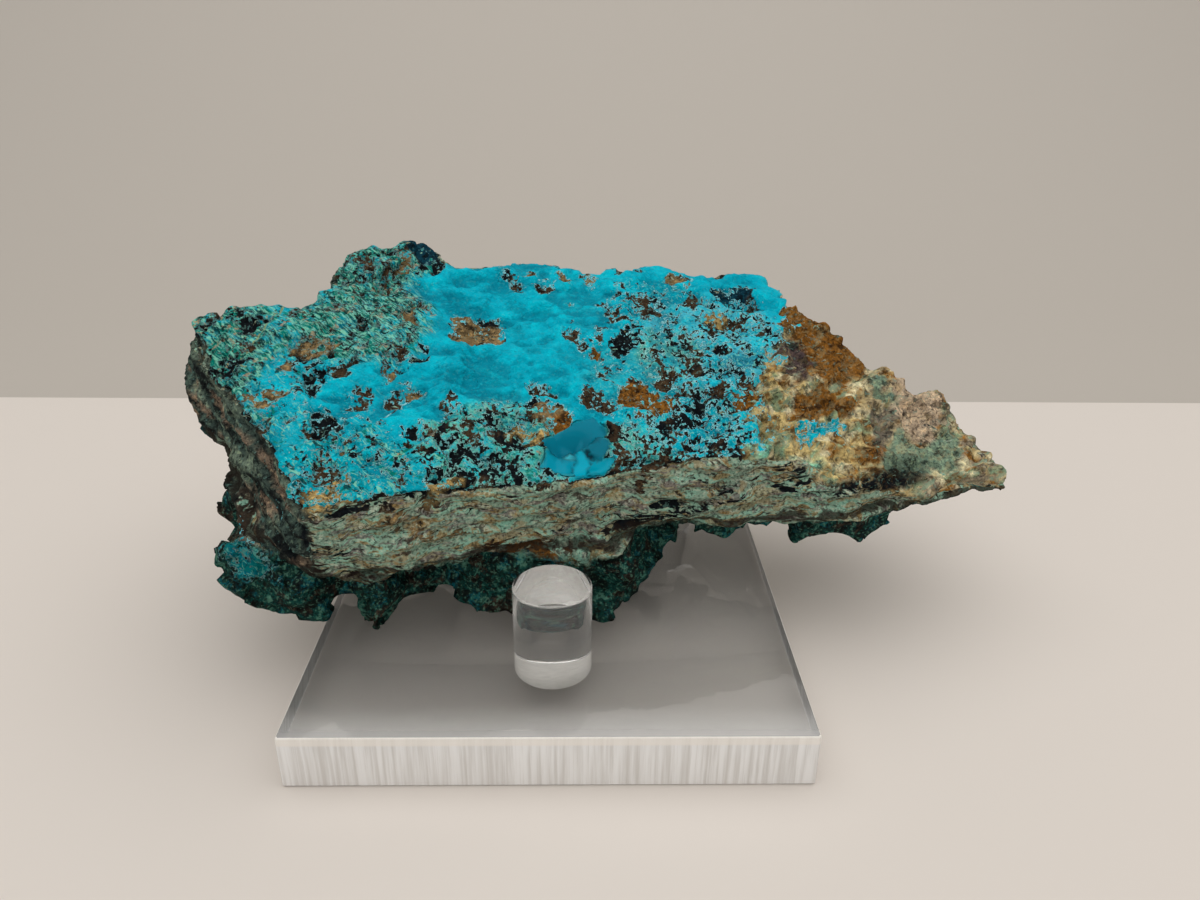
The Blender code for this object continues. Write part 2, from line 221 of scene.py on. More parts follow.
PATCHES = (
    # Tan window in the smooth basin
    Patch(Ground.TAN, (-7.5, 57, 16), (4.5, 7), -5),
    Patch(Ground.TAN, (-3, 57, 16), (3.5, 6), -10),
    Patch(Ground.BLACK, (-3.5, 63, 16.5), (2, 1), -30),
    Patch(Ground.TAN, (1, 59, 16), (1, 1.5), -20),
    # Slits and chips along the top rim
    Patch(Ground.BLACK, (6, 78, 18), (1, 3), 20),
    Patch(Ground.BROWN, (8, 75.5, 18), (1.5, 3), -15),
    Patch(Ground.TAN, (11, 78, 18), (1.5, 1), 40),
    Patch(Ground.BROWN, (14.5, 73, 18), (1.5, 2), -20),
    Patch(Ground.TAN, (20, 76.5, 17.5), (1, 2), 25),
    Patch(Ground.TAN, (27.5, 74.5, 17.5), (1, 3), -15),
    Patch(Ground.TAN, (19.5, 64.5, 18), (1.5, 1.5), 10),
    Patch(Ground.BROWN, (28.5, 65, 17.5), (2.5, 0.7), 40),
    Patch(Ground.BROWN, (28, 57.5, 18.5), (2, 3), -10),
    Patch(Ground.BROWN, (36.5, 62.5, 18), (4, 3.5), 30),
    Patch(Ground.BROWN, (38, 57, 17.5), (2, 3.5), -25),
    Patch(Ground.BROWN, (50.5, 60.5, 18), (3.5, 4), -15),
    Patch(Ground.TAN, (49.5, 71, 18), (3, 2), 35),
    Patch(Ground.BROWN, (37.5, 77, 18), (3, 2), 10),
    # Crooked line and holes right of the basin
    Patch(Ground.BROWN, (16, 50.5, 18), (1, 3.5), -5),
    Patch(Ground.BROWN, (17, 45, 18.5), (0.7, 2.5), 15),
    Patch(Ground.RUST, (19, 42, 18), (1.5, 1), 50),
    Patch(Ground.BROWN, (24.5, 50.5, 18.5), (2, 0.8), 5),
    Patch(Ground.BLACK, (29, 48, 18), (2, 5), -25),
    Patch(Ground.BLACK, (25.5, 43.5, 18.5), (1, 2.5), -20),
    Patch(Ground.BROWN, (21.5, 47.5, 18.5), (1.5, 3), -20),
    Patch(Ground.BROWN, (20, 33.5, 18), (1, 2), -30),
    Patch(Ground.BROWN, (14.5, 26.5, 18.5), (2, 3), -20),
    Patch(Ground.BROWN, (17.5, 22.5, 18), (2, 2), 5),
    # Rust window and the brown veins above it
    Patch(Ground.RUST, (26, 24, 17.5), (5.5, 6.5), 20),
    Patch(Ground.BROWN, (25.5, 31.5, 18), (1, 2), -20),
    Patch(Ground.BROWN, (33.5, 36.5, 18.5), (1, 5.5), -10),
    Patch(Ground.BROWN, (33.5, 31.5, 17.5), (2, 3.5), -25),
    Patch(Ground.BROWN, (35.5, 27, 17.5), (3, 2.5), -20),
    # Coarse ground along the front edge
    Patch(Ground.BROWN, (4, 30.5, 17.5), (3, 2), -40),
    Patch(Ground.BLACK, (2, 25.5, 18), (1.5, 1), -5),
    Patch(Ground.TAN, (3.5, 22, 18), (3, 2.5), -55),
    Patch(Ground.RUST, (5.5, 19, 18), (2.5, 2), 45),
    Patch(Ground.OCHRE, (-1, 18, 17), (4, 2.5), 10),
    Patch(Ground.BLACK, (-13, 12, 17.5), (7, 3.5), -20),
    Patch(Ground.BROWN, (-13.5, 20.5, 17.5), (3.5, 4), 10),
    Patch(Ground.BROWN, (-16, 30, 17.5), (2, 2.5), -10),
    Patch(Ground.BLACK, (-18.5, 11, 17.5), (2.5, 2.5), -5),
    Patch(Ground.BLACK, (-16.5, 6.5, 17.5), (2.5, 3), -10),
    Patch(Ground.OCHRE, (-20, 6, 17.5), (3.5, 2), 5),
    Patch(Ground.BLACK, (-9.5, 7.5, 17.5), (3, 1.5), 0),
    Patch(Ground.BLACK, (-3.5, 16, 17), (1.5, 1.5), -25),
    Patch(Ground.BROWN, (15, 6.5, 18), (4, 2.5), -5),
    # Flecks and the fine crack in the blue ground left of them
    Patch(Ground.BLACK, (-25.5, 20.5, 19), (1.5, 1), -30),
    Patch(Ground.BLACK, (-32.5, 24, 18.5), (1.2, 0.9), -45),
    Patch(Ground.BLACK, (-33.5, 20, 18.5), (0.6, 0.6), 10),
    Patch(Ground.BROWN, (-34, 35, 17.5), (2, 1.5), -10),
    Patch(Ground.BROWN, (-34.5, 31, 17.5), (2, 1.5), -25),
    Patch(Ground.BROWN, (-27, 31.5, 18), (1, 2), -15),
    Patch(Ground.TAN, (-23.5, 34, 18), (1.5, 1), -40),
    Patch(Ground.BLACK, (-19.5, 51, 18.5), (0.7, 1), -5),
    Patch(Ground.BLACK, (-18.5, 49.5, 18.5), (0.7, 1), -5),
    Patch(Ground.BLACK, (-21, 44.5, 18.5), (1, 1.5), -5),
    Patch(Ground.BLACK, (-24, 42, 19), (1, 1.5), -5),
    Patch(Ground.BROWN, (-27, 43.5, 19), (2, 1.5), -50),
    Patch(Ground.TAN, (-27, 40, 18.5), (1.5, 2), -5),
    Patch(Ground.BROWN, (-24, 49.5, 19), (1.8, 2.6), -5),
    Patch(Ground.TAN, (-21, 60.5, 18.5), (2, 4), -10),
    Patch(Ground.TAN, (-18.5, 65.5, 18.5), (2, 1.5), -55),
    # Dark lumps at the top left
    Patch(Ground.BROWN, (-28.5, 83, 22), (2, 6), 0),
    Patch(Ground.BLACK, (-23.5, 86, 22), (3.5, 2.5), -5),
    Patch(Ground.SLATE, (-14, 86.5, 21), (3, 5), 10),
    Patch(Ground.BLACK, (-12, 82.5, 19.5), (1, 4), -10),
    Patch(Ground.TAN, (-19, 82.5, 21), (2, 2.5), 20),
    Patch(Ground.BROWN, (-21.5, 79.5, 18.5), (1.5, 2.5), -5),
    Patch(Ground.BROWN, (-24.5, 78, 18.5), (1.5, 6), -15),
    # Mottled left third
    Patch(Ground.TAN, (-42.5, 53, 18.5), (5, 3.5), -25),
    Patch(Ground.TAN, (-48.5, 46, 18.5), (1.5, 2.5), 5),
    Patch(Ground.TAN, (-50, 35.5, 18.5), (2.5, 3), 25),
    Patch(Ground.TAN, (-55, 35, 19), (3, 1.5), -50),
    Patch(Ground.BROWN, (-53, 27.5, 18), (1.5, 2), 5),
    Patch(Ground.BROWN, (-48, 26.5, 18.5), (1.5, 1), 40),
    Patch(Ground.BLACK, (-46, 49.5, 18), (1, 4), 0),
    Patch(Ground.BLACK, (-44, 41.5, 17), (1.5, 5.5), -15),
    Patch(Ground.BLACK, (-41, 41.5, 18), (1.5, 2.5), 0),
    Patch(Ground.BLACK, (-39.5, 49.5, 19.5), (0.7, 2.5), -5),
    Patch(Ground.BLACK, (-31.5, 59.5, 19.5), (1.5, 2), 0),
    Patch(Ground.BROWN, (-35, 45, 19), (2, 1.4), -15),
    Patch(Ground.BROWN, (-37.5, 42, 18.5), (1.4, 2.4), 0),
    Patch(Ground.BROWN, (-56, 55, 18), (2, 1.6), 25),
    Patch(Ground.BLACK, (-60.5, 50.5, 16), (2.5, 4), 5),
    Patch(Ground.BLACK, (-63.5, 67, 18), (3.5, 1.5), 55),
    Patch(Ground.BLACK, (-54.5, 62.5, 19), (4.5, 3), 15),
    Patch(Ground.BLACK, (-58.5, 65.5, 19), (2, 1.5), -40),
    Patch(Ground.BLACK, (-41, 27.5, 18.5), (3.5, 3), -55),
    Patch(Ground.BLACK, (-41, 23.5, 18.5), (5, 1), 30),
    Patch(Ground.BROWN, (-44.5, 22, 18.5), (1, 2), 0),
    Patch(Ground.TAN, (-38, 18, 18), (1, 1), -20),
    Patch(Ground.BROWN, (-42, 14, 17), (2.5, 4), 5),
    Patch(Ground.BROWN, (-38.5, 8.5, 18.5), (1.5, 1.5), 15),
    Patch(Ground.OCHRE, (-42.5, 7, 18.5), (3.5, 1.5), -20),
    Patch(Ground.BROWN, (-27, 16.5, 18.5), (1, 1.5), -5),
    Patch(Ground.BLACK, (-26, 14, 18.5), (0.7, 1), -5),
    Patch(Ground.BROWN, (-23, 15.5, 18.5), (1, 2), 0),
    Patch(Ground.BROWN, (-29.5, 7.5, 18.5), (1, 1.5), 0),
    # Lace and hollow on the right
    Patch(Ground.BLACK, (32, 15.5, 18), (4.5, 2.5), -45),
    Patch(Ground.BLACK, (38.5, 22, 17.5), (2, 6), -20),
    Patch(Ground.BROWN, (53.5, 27.5, 17.5), (3.5, 2), 50),
    Patch(Ground.BROWN, (44, 24.5, 18), (2.5, 1.5), 10),
    Patch(Ground.RUST, (50.5, 23, 17), (4.5, 2.5), 35),
    Patch(Ground.SLATE, (63.5, 63, 16.5), (5, 3), 0),
    Patch(Ground.BROWN, (67, 59, 15), (1.5, 4), -25),
    Patch(Ground.OCHRE, (53.5, 52, 17.5), (2.5, 2), 40),
    Patch(Ground.BROWN, (57.5, 50, 17.5), (3, 2.5), 25),
    Patch(Ground.BROWN, (43.5, 40.5, 18), (2, 4), -20),
)

HOST_PATCHES = (
    # Rusty and grey ground of the right end
    Patch(Ground.RUST, (73, 51, 18.5), (6, 3.5), 60),
    Patch(Ground.RUST, (79, 41, 17), (8.5, 14), -30),
    Patch(Ground.RUST, (86.5, 37.5, 14), (6.5, 3), 55),
    Patch(Ground.PURPLE, (68, 35, 17), (7.5, 3), 60),
    Patch(Ground.BLACK, (67, 41, 18.5), (2.5, 2), 35),
    Patch(Ground.RUST, (68.5, 21, 14.5), (11, 3.5), 20),
    Patch(Ground.MINT, (47.5, 6.5, 16.5), (3, 2.5), 40),
    Patch(Ground.MINT, (58.5, 4, 13.5), (4.5, 2), 10),
    Patch(Ground.RUST, (78.5, 8.5, 9), (4.5, 3), 35),
    Patch(Ground.GREY, (86, 17, 9.5), (8.5, 2.5), 50),
    Patch(Ground.PINK, (98, 24, 7.5), (10, 7), 55),
    Patch(Ground.SAGE, (88, 7, 6.5), (7, 5), 45),
    Patch(Ground.SAGE, (99, 10.5, 5.5), (7, 4), 40),
    Patch(Ground.BLACK, (100, 1, 3), (1.5, 1), 40),
    Patch(Ground.SAGE, (89.5, 27.5, 11), (4.5, 1.5), -25),
    # Stains on the front face
    Patch(Ground.BLACK, (73.5, 0, 7), (13.5, 1.5), -5, True),
    Patch(Ground.BLACK, (53.5, 1, 9.5), (5.5, 2), -5, True),
    Patch(Ground.BLACK, (54, 1.5, 12), (3, 1.5), -15, True),
    Patch(Ground.BLACK, (36.5, 1.5, 10), (2.5, 1), -15, True),
    Patch(Ground.BLACK, (30, 0.5, 7), (4, 1.5), -15, True),
    Patch(Ground.BLACK, (37, 0, 8), (3, 1.5), 0, True),
    Patch(Ground.BLACK, (20.5, 1, 4.5), (4.5, 2.5), 0, True),
    Patch(Ground.BLACK, (26.5, 1, 6), (6, 2), -5, True),
    Patch(Ground.BLACK, (12, 1, 3.5), (2, 1), -25, True),
    Patch(Ground.BROWN, (19.5, 4, 12.5), (6.5, 1), 55, True),
    Patch(Ground.OCHRE, (-42, 3, 18), (5.5, 1.5), -5, True),
    Patch(Ground.BLACK, (-38, 2.5, 16.5), (6, 1), 5, True),
    Patch(Ground.TAN, (-29.5, 2, 12.5), (4, 1.5), -5, True),
    Patch(Ground.RUST, (-4, 0.5, 1), (8, 2.5), -10, True),
    Patch(Ground.TAN, (-24, 0, 8), (6.5, 1.5), -15, True),
    Patch(Ground.BLACK, (-44.5, 1, 10), (5, 1), -40, True),
    Patch(Ground.BLACK, (-40, -1.5, 2), (8, 1), -15, True),
    Patch(Ground.BROWN, (35, 2, -4), (6, 2), -20, True),
)

ISLANDS = (
    # Turquoise islands on the rusty ground
    Patch(Ground.CRUST, (64, 12.5, 14), (7, 2.4), 15),
    Patch(Ground.CRUST, (71.5, 15, 13), (2.5, 1.5), 55),
    # Teal-blue crust on the lower layer's left end
    Patch(Ground.CRUST, (-61, 11, -3.5), (4.6, 3.6), 0, True),
)


@dataclass(frozen=True)
class Facet:
    """One flat break of the glassy chip, in millimetres of the bedding frame."""

    place: tuple[float, float]
    half_size: tuple[float, float]
    turn: float
    height: float
    slope: tuple[float, float]
    tint: Colour


CHIP = (
    # The large upper break, then the smaller ones below it. Their tints are partly the chip's own colour and
    # partly painted light: each break is lighter or darker as it is lit, and the palest is a painted
    # highlight.
    Facet((7.8, 15.4), (6.4, 2.9), 17, -0.8, (0.03, 0.34), tone(0, 122, 146)),
    Facet((3.4, 9.8), (3.3, 2.8), -20, 0.5, (-0.04, 0.02), tone(0, 146, 172)),
    Facet((7.8, 9.6), (2.1, 3.6), -28, 0.1, (0.20, 0.20), tone(0, 164, 190)),
    Facet((12.0, 12.0), (2.3, 2.3), 35, 0.1, (-0.34, 0.10), tone(0, 112, 134)),
    Facet((10.8, 7.0), (2.3, 2.4), -30, -0.4, (-0.14, 0.06), tone(0, 150, 174)),
    Facet((5.6, 12.0), (1.7, 1.3), 25, 0.4, (0.10, 0.30), tone(60, 184, 202)),
    Facet((9.6, 11.2), (1.3, 1.5), -10, -0.1, (0.30, -0.20), tone(0, 88, 110)),
)


class Sketch:
    """A material's node tree, drawn one step at a time."""

    def __init__(self, name: str) -> None:
        """Start a material with a Principled shader."""
        self.material = bpy.data.materials.new(name)
        self.material.use_nodes = True
        self.tree = self.material.node_tree
        self.shader = self.tree.nodes["Principled BSDF"]

    def node(self, kind: str, **settings: object) -> bpy.types.Node:
        """Add a node and set its own properties.

        Args:
            kind: Blender's name of the node type.
            **settings: Properties of the node.

        Returns:
            The new node.
        """
        made = self.tree.nodes.new(kind)
        for name, value in settings.items():
            setattr(made, name, value)
        return made

    def feed(self, socket: bpy.types.NodeSocket, source: object) -> None:
        """Link a socket to another node's output, or set its value."""
        if isinstance(source, bpy.types.NodeSocket):
            self.tree.links.new(source, socket)
        elif isinstance(source, tuple) and socket.type == "RGBA":
            socket.default_value = (*source[:3], 1.0)
        else:
            socket.default_value = source

    def math(self, operation: str, first: object, second: object = 0.0, third: object = 0.0,
             clamp: bool = False) -> bpy.types.NodeSocket:
        """Add a Math node and return its value."""
        made = self.node("ShaderNodeMath", operation=operation, use_clamp=clamp)
        for socket, source in zip(made.inputs, (first, second, third)):
            self.feed(socket, source)
        return made.outputs[0]

    def band(self, value: object, low: float, high: float, start: float = 0.0,
             end: float = 1.0) -> bpy.types.NodeSocket:
        """Return a value mapped smoothly from start, at low, to end, at high."""
        made = self.node("ShaderNodeMapRange", interpolation_type="SMOOTHSTEP")
        for name, source in zip(("Value", "From Min", "From Max", "To Min", "To Max"),
                                (value, low, high, start, end)):
            self.feed(made.inputs[name], source)
        return made.outputs["Result"]

    def mix(self, share: object, first: object, second: object,
            blend: str = "MIX") -> bpy.types.NodeSocket:
        """Return two colours mixed by a share."""
        made = self.node("ShaderNodeMix", data_type="RGBA", blend_type=blend)
        self.feed(made.inputs[0], share)
        self.feed(made.inputs[6], first)
        self.feed(made.inputs[7], second)
        return made.outputs[2]

    def attribute(self, name: str, output: str = "Fac") -> bpy.types.NodeSocket:
        """Return one of the mesh's own attributes."""
        return self.node("ShaderNodeAttribute", attribute_name=name).outputs[output]

    def mapped(self, vector: object, location: tuple = (0, 0, 0), rotation: tuple = (0, 0, 0),
               scale: tuple = (1, 1, 1)) -> bpy.types.NodeSocket:
        """Return a vector as it reads in a frame at that location and rotation, with that unit length."""
        made = self.node("ShaderNodeMapping", vector_type="TEXTURE")
        for name, source in (("Vector", vector), ("Location", location), ("Rotation", rotation),
                             ("Scale", scale)):
            self.feed(made.inputs[name], source)
        return made.outputs[0]

    def cloud(self, vector: object, lengths: object, detail: float = 2.0, rough: float = 0.55,
              warp: float = 0.0, turn: tuple = (0, 0, 0), shift: float = 0.0) -> bpy.types.NodeSocket:
        """Return fractal noise, mostly 0.3 to 0.7.

        Args:
            vector: Place in millimetres.
            lengths: Wavelength in millimetres, one number or one for each axis.
            detail: Layers of finer noise.
            rough: How strong each finer layer is.
            warp: How far the noise distorts itself.
            turn: Turn of the axes.
            shift: Moves the pattern, for one that is independent of another.

        Returns:
            The noise.
        """
        scale = lengths if isinstance(lengths, tuple) else (lengths,) * 3
        place = self.mapped(vector, (shift,) * 3, turn, scale)
        made = self.node("ShaderNodeTexNoise")
        for name, source in (("Vector", place), ("Scale", 1.0), ("Detail", detail),
                             ("Roughness", rough), ("Distortion", warp)):
            self.feed(made.inputs[name], source)
        return made.outputs["Fac"]

    def swing(self, value: object) -> bpy.types.NodeSocket:
        """Return noise spread about 0, mostly from -1.5 to 1.5."""
        return self.math("MULTIPLY", self.math("SUBTRACT", value, 0.5), 10.0)

    def ramp(self, value: object, stops: tuple) -> bpy.types.NodeSocket:
        """Return a colour read from a ramp of (position, colour) stops."""
        made = self.node("ShaderNodeValToRGB")
        elements = made.color_ramp.elements
        while len(elements) < len(stops):
            elements.new(0.5)
        for element, (position, colour) in zip(elements, stops):
            element.position = position
            element.color = (*colour, 1.0)
        self.feed(made.inputs[0], value)
        return made.outputs[0]

    def bump(self, height: object, distance: float, strength: float = 1.0,
             normal: object = None) -> bpy.types.NodeSocket:
        """Return a normal bent by a height, in metres."""
        made = self.node("ShaderNodeBump")
        self.feed(made.inputs["Height"], height)
        made.inputs["Distance"].default_value = distance
        made.inputs["Strength"].default_value = strength
        if normal is not None:
            self.feed(made.inputs["Normal"], normal)
        return made.outputs[0]

    def stroke(self, vector: object, place: tuple, half_length: float, turn: float,
               half_width: float) -> bpy.types.NodeSocket:
        """Return 1 on a thin line of the upper face and 0 off it, with both lengths in millimetres."""
        along = self.node("ShaderNodeSeparateXYZ")
        self.feed(along.inputs[0], self.mapped(vector, (*place, 0.0), (0, 0, math.radians(turn))))
        beside = self.math("ABSOLUTE", along.outputs[1])
        reach = self.band(self.math("ABSOLUTE", along.outputs[0]), half_length, half_length * 0.8)
        return self.math("MULTIPLY", reach, self.band(beside, half_width, half_width * 0.5))

    def set(self, **values: object) -> None:
        """Link or set sockets of the shader, named with underscores for spaces."""
        for name, source in values.items():
            self.feed(self.shader.inputs[name.replace("_", " ")], source)


@dataclass(frozen=True)
class BeddingFrame:
    """Where the rock's bedding frame lies: its origin, dip and turn."""

    origin: tuple[float, float, float] = (-0.8 * MM, -19.3 * MM, 33.0 * MM)
    dip: float = math.radians(18.0)
    turn: float = math.radians(15.5)

    def matrix(self) -> Matrix:
        """Return the turn and move from bedding millimetres to metres of the object."""
        turn = Euler((self.dip, 0.0, self.turn))
        return Matrix.LocRotScale(self.origin, turn, Vector((MM, MM, MM)))


@dataclass(frozen=True)
class RockFinish:
    """The one finish of the rock: crust, bare ground, bedded host rock and deep teal underside."""

    bedding: BeddingFrame
    black: Colour = tone(12, 15, 18)
    cream: Colour = tone(196, 244, 240)
    mint: Colour = tone(132, 210, 184)
    streak_turn: float = math.radians(-53.0)
    veins: tuple = (((-52.8, 60.6), 14.0, 59.7, 0.28), ((-59, 50), 3.4, -44.0, 0.25))
    crack: tuple = ((-27.5, 29.5), 6.5, 45.0, 0.3)

    def build(self) -> bpy.types.Material:
        """Draw the material and return it."""
        s = Sketch("chrysocolla")
        place = s.node("ShaderNodeTexCoord").outputs["Object"]
        q = s.mapped(place, self.bedding.origin, (self.bedding.dip, 0.0, self.bedding.turn),
                     (MM, MM, MM))
        lively = s.attribute("lively")
        glass = s.attribute("glass")
        fine = s.swing(s.cloud(q, 1.6, 3.0, 0.62))
        sharp = s.swing(s.cloud(q, 0.7, 1.6, 0.6))
        grain = s.math("MULTIPLY_ADD", sharp, 0.5, fine)
        level = s.math("MULTIPLY_ADD", grain, s.band(lively, 0.0, 1.2, 0.05, 1.0),
                       s.attribute("cover"))
        rim_width = s.math("MULTIPLY_ADD", lively, 0.21, 0.03)
        crust = s.math("MULTIPLY", s.band(s.math("SUBTRACT", level, rim_width), 0.0, 0.12),
                       s.math("SUBTRACT", 1.0, s.stroke(q, *self.crack)))
        rim = s.band(s.math("DIVIDE", level, rim_width), -1.5, -0.8)
        bed = self.folded(s, q)
        leaf = s.swing(s.cloud(bed, (4.5, 4.5, 0.9), 3.0, 0.65, 0.5))
        stained = s.math("MULTIPLY_ADD", leaf, 0.3, s.attribute("stain"))
        base = s.mix(s.band(stained, 0.42, 0.58), self.host(s, bed, sharp), self.ground(s, q, fine, sharp))
        # Painted shade: a dark brown band along the crease at the slab's bottom edge.
        crease_shade = s.math("MULTIPLY_ADD", leaf, 0.25, s.attribute("crease_shade"))
        base = s.mix(s.band(crease_shade, 0.3, 0.8, 0.0, 0.85), base, tone(40, 33, 28))
        base = s.mix(s.attribute("deep"), base, self.underside(s, q, sharp))
        rim_tone = s.mix(0.5, s.attribute("tint", "Color"), self.cream)
        broken = s.swing(s.cloud(q, 2.6, 2.0, shift=17.0))
        rim_share = s.math("MULTIPLY", rim, s.band(broken, -0.8, 0.0, 0.05, 1.0))
        rim_share = s.math("MULTIPLY", rim_share, s.math("MULTIPLY_ADD", s.attribute("moss"), -0.7, 1.0))
        colour = s.mix(rim_share, base, rim_tone)
        colour = s.mix(crust, colour, self.crust(s, q, fine, sharp, lively))
        s.set(Base_Color=colour)
        rough = s.math("MULTIPLY_ADD", sharp, 0.05, s.band(crust, 0.0, 1.0, 0.8, 0.55))
        s.set(Roughness=s.band(glass, 0.2, 1.0, rough, 0.2))
        step = s.bump(s.math("MAXIMUM", crust, s.math("MULTIPLY", rim, 0.6)), 0.35 * MM, 1.0)
        swell = s.math("MULTIPLY", s.cloud(q, 3.6, 3.0, 0.55, warp=0.6), s.band(glass, 0.0, 0.5, 1.0, 0.0))
        step = s.bump(swell, 1.8 * MM, 0.8, step)
        grit = s.cloud(q, 0.5, 2.0, 0.62)
        grit_depth = s.band(glass, 0.0, 1.0, s.band(crust, 0.0, 1.0, 1.0, 0.7), 0.03)
        s.set(Normal=s.bump(s.math("MULTIPLY", grit, grit_depth), 0.5 * MM, 0.9, step))
        s.shader.inputs["IOR"].default_value = 1.5
        s.shader.inputs["Specular IOR Level"].default_value = 0.03
        s.shader.inputs["Coat Roughness"].default_value = 0.12
        s.set(Coat_Weight=s.band(glass, 0.3, 0.9, 0.0, 0.07))
        return s.material

    def crust(self, s: Sketch, q: object, fine: object, sharp: object,
              lively: object) -> bpy.types.NodeSocket:
        """Return the colour of the waxy crust."""
        tint = s.attribute("tint", "Color")
        glass = s.attribute("glass")
        cloud = s.swing(s.cloud(q, 7.0, 4.0, 0.62, warp=0.7))
        light = s.mix(0.7, tint, tone(0, 208, 228))
        dark = s.mix(0.7, tint, tone(0, 114, 134))
        colour = s.mix(s.band(cloud, 0.0, 1.4, 0.0, 0.8), tint, light)
        colour = s.mix(s.band(cloud, 0.0, -1.6, 0.0, 0.75), colour, dark)
        # Painted shade: the crust turns toward dark teal in the hollows of its relief.
        colour = s.mix(s.band(s.attribute("relief"), 0.0, -0.9, 0.0, 0.55), colour, tone(0, 98, 122))
        colour = s.mix(s.band(fine, 0.3, 1.8, 0.0, 0.35), colour, light)
        colour = s.mix(s.band(fine, -0.3, -1.8, 0.0, 0.4), colour, dark)
        busy = s.band(lively, 0.3, 1.1)
        pale = s.math("MULTIPLY", s.band(sharp, 0.5, 1.6), s.math("MULTIPLY_ADD", busy, 0.5, 0.06))
        colour = s.mix(pale, colour, self.mint)
        shade = s.math("MULTIPLY", s.band(sharp, -0.6, -1.6), s.math("MULTIPLY", busy, 0.6))
        colour = s.mix(shade, colour, tone(0, 70, 78))
        colour = self.moss(s, q, colour, sharp)
        # Painted shade: on the underside the crust is mixed toward a dark teal.
        colour = s.mix(s.math("MULTIPLY", s.attribute("deep"), 0.55), colour, tone(0, 92, 108))
        return s.mix(s.band(glass, 0.3, 0.8), self.streaks(s, q, colour), tint)

    def moss(self, s: Sketch, q: object, colour: object, sharp: object) -> bpy.types.NodeSocket:
        """Return a colour mottled with the emerald, dark green, silvery mint and tan of the left third."""
        strength = s.attribute("moss")
        turn = (0.0, 0.0, self.streak_turn)
        layers = (
            (s.cloud(q, 5.5, 4.0, 0.7, 0.8, shift=40.0), 1.7, (1.0, 1.9), tone(0, 118, 100), 0.9),
            (s.cloud(q, 3.2, 3.5, 0.7, 0.6, shift=53.0), 1.2, (1.2, 2.0), tone(14, 46, 46), 0.85),
            (s.cloud(q, (2.6, 0.9, 1.5), 3.0, 0.68, 0.8, turn, 61.0), 1.0, (0.9, 2.0), self.mint, 0.85),
            (s.cloud(q, 2.4, 3.0, 0.7, shift=67.0), 1.0, (1.7, 2.3), tone(168, 142, 112), 0.8),
            (s.cloud(q, (2.2, 1.2, 1.6), 2.0, 0.7, 0.5, turn, 69.0), 0.7, (1.5, 2.1), tone(12, 20, 22), 0.85),
        )
        for cloud, gain, (low, high), tint, most in layers:
            level = s.math("MULTIPLY_ADD", strength, gain, s.swing(cloud))
            share = s.math("MULTIPLY", s.band(level, low, high, 0.0, most), s.band(strength, 0.0, 0.3))
            colour = s.mix(share, colour, tint)
        return colour

    def streaks(self, s: Sketch, q: object, colour: object) -> bpy.types.NodeSocket:
        """Return a colour brushed with the pale and dark lines of the green shoulder, and its veins."""
        strength = s.attribute("streaks")
        turn = (0.0, 0.0, self.streak_turn)
        broad = s.swing(s.cloud(q, (3.6, 1.0, 2.2), 3.0, 0.66, turn=turn, warp=0.7))
        thin = s.swing(s.cloud(q, (2.8, 0.42, 1.4), 2.0, 0.62, turn=turn, warp=0.9))
        dark = s.math("MULTIPLY", s.band(broad, 0.0, -1.3), s.math("MULTIPLY", strength, 0.85))
        colour = s.mix(dark, colour, tone(12, 36, 38))
        pale = s.math("MULTIPLY", s.band(thin, 0.2, 1.5), s.math("MULTIPLY", strength, 0.85))
        colour = s.mix(pale, colour, tone(126, 206, 194))
        for vein in self.veins:
            colour = s.mix(s.math("MULTIPLY", s.stroke(q, *vein), 0.75), colour, tone(150, 160, 112))
        return colour

    def ground(self, s: Sketch, q: object, fine: object, sharp: object) -> bpy.types.NodeSocket:
        """Return the colour of the bare ground between the crust, and of the grainy right end."""
        bare = s.attribute("ground", "Color")
        host = s.attribute("grainy")
        coarse = s.math("MULTIPLY_ADD", host, -0.55, 1.0)
        cloud = s.swing(s.cloud(q, 2.8, 3.5, 0.7, shift=5.0))
        specks = s.swing(s.cloud(q, 1.0, 2.0, 0.65, shift=9.0))
        colour = s.mix(s.band(cloud, 0.1, -1.2, 0.0, 0.9), bare, s.mix(0.8, bare, self.black))
        warm = s.mix(1.0, bare, (1.45, 1.45, 1.4), "MULTIPLY")
        colour = s.mix(s.band(cloud, 0.3, 1.5, 0.0, 0.85), colour, warm)
        bright = s.mix(1.0, warm, (1.8, 1.7, 1.5), "MULTIPLY")
        colour = s.mix(s.math("MULTIPLY", s.band(specks, 0.6, 1.4, 0.0, 0.55), coarse), colour, bright)
        colour = s.mix(s.math("MULTIPLY", s.band(specks, -0.6, -1.4, 0.0, 0.75), coarse), colour, self.black)
        flecks = s.swing(s.cloud(q, 1.4, 2.5, 0.65, shift=13.0))
        colour = s.mix(s.band(flecks, 1.0, 1.6, 0.0, 0.35), colour, tone(112, 156, 146))
        turn = (0.0, 0.0, 0.5)
        layers = (
            (s.cloud(q, (5.0, 2.6, 3.0), 4.0, 0.7, 0.6, turn, 71.0), (0.3, 1.3), tone(96, 68, 36), 0.7),
            (s.cloud(q, (4.0, 2.2, 3.0), 4.0, 0.7, 0.6, turn, 75.0), (0.3, 1.3), tone(202, 180, 128), 0.6),
            (s.cloud(q, (6.0, 2.8, 3.0), 4.0, 0.7, 0.6, turn, 79.0), (0.6, 1.3), tone(132, 162, 138), 0.7),
            (s.cloud(q, 1.6, 2.5, 0.66, shift=83.0), (0.9, 1.7), tone(222, 208, 170), 0.3),
            (s.cloud(q, 1.5, 2.5, 0.66, shift=87.0), (1.0, 1.8), tone(70, 52, 38), 0.4),
        )
        for cloud, (low, high), tint, most in layers:
            share = s.math("MULTIPLY", s.band(s.swing(cloud), low, high, 0.0, most), host)
            colour = s.mix(share, colour, tint)
        return colour

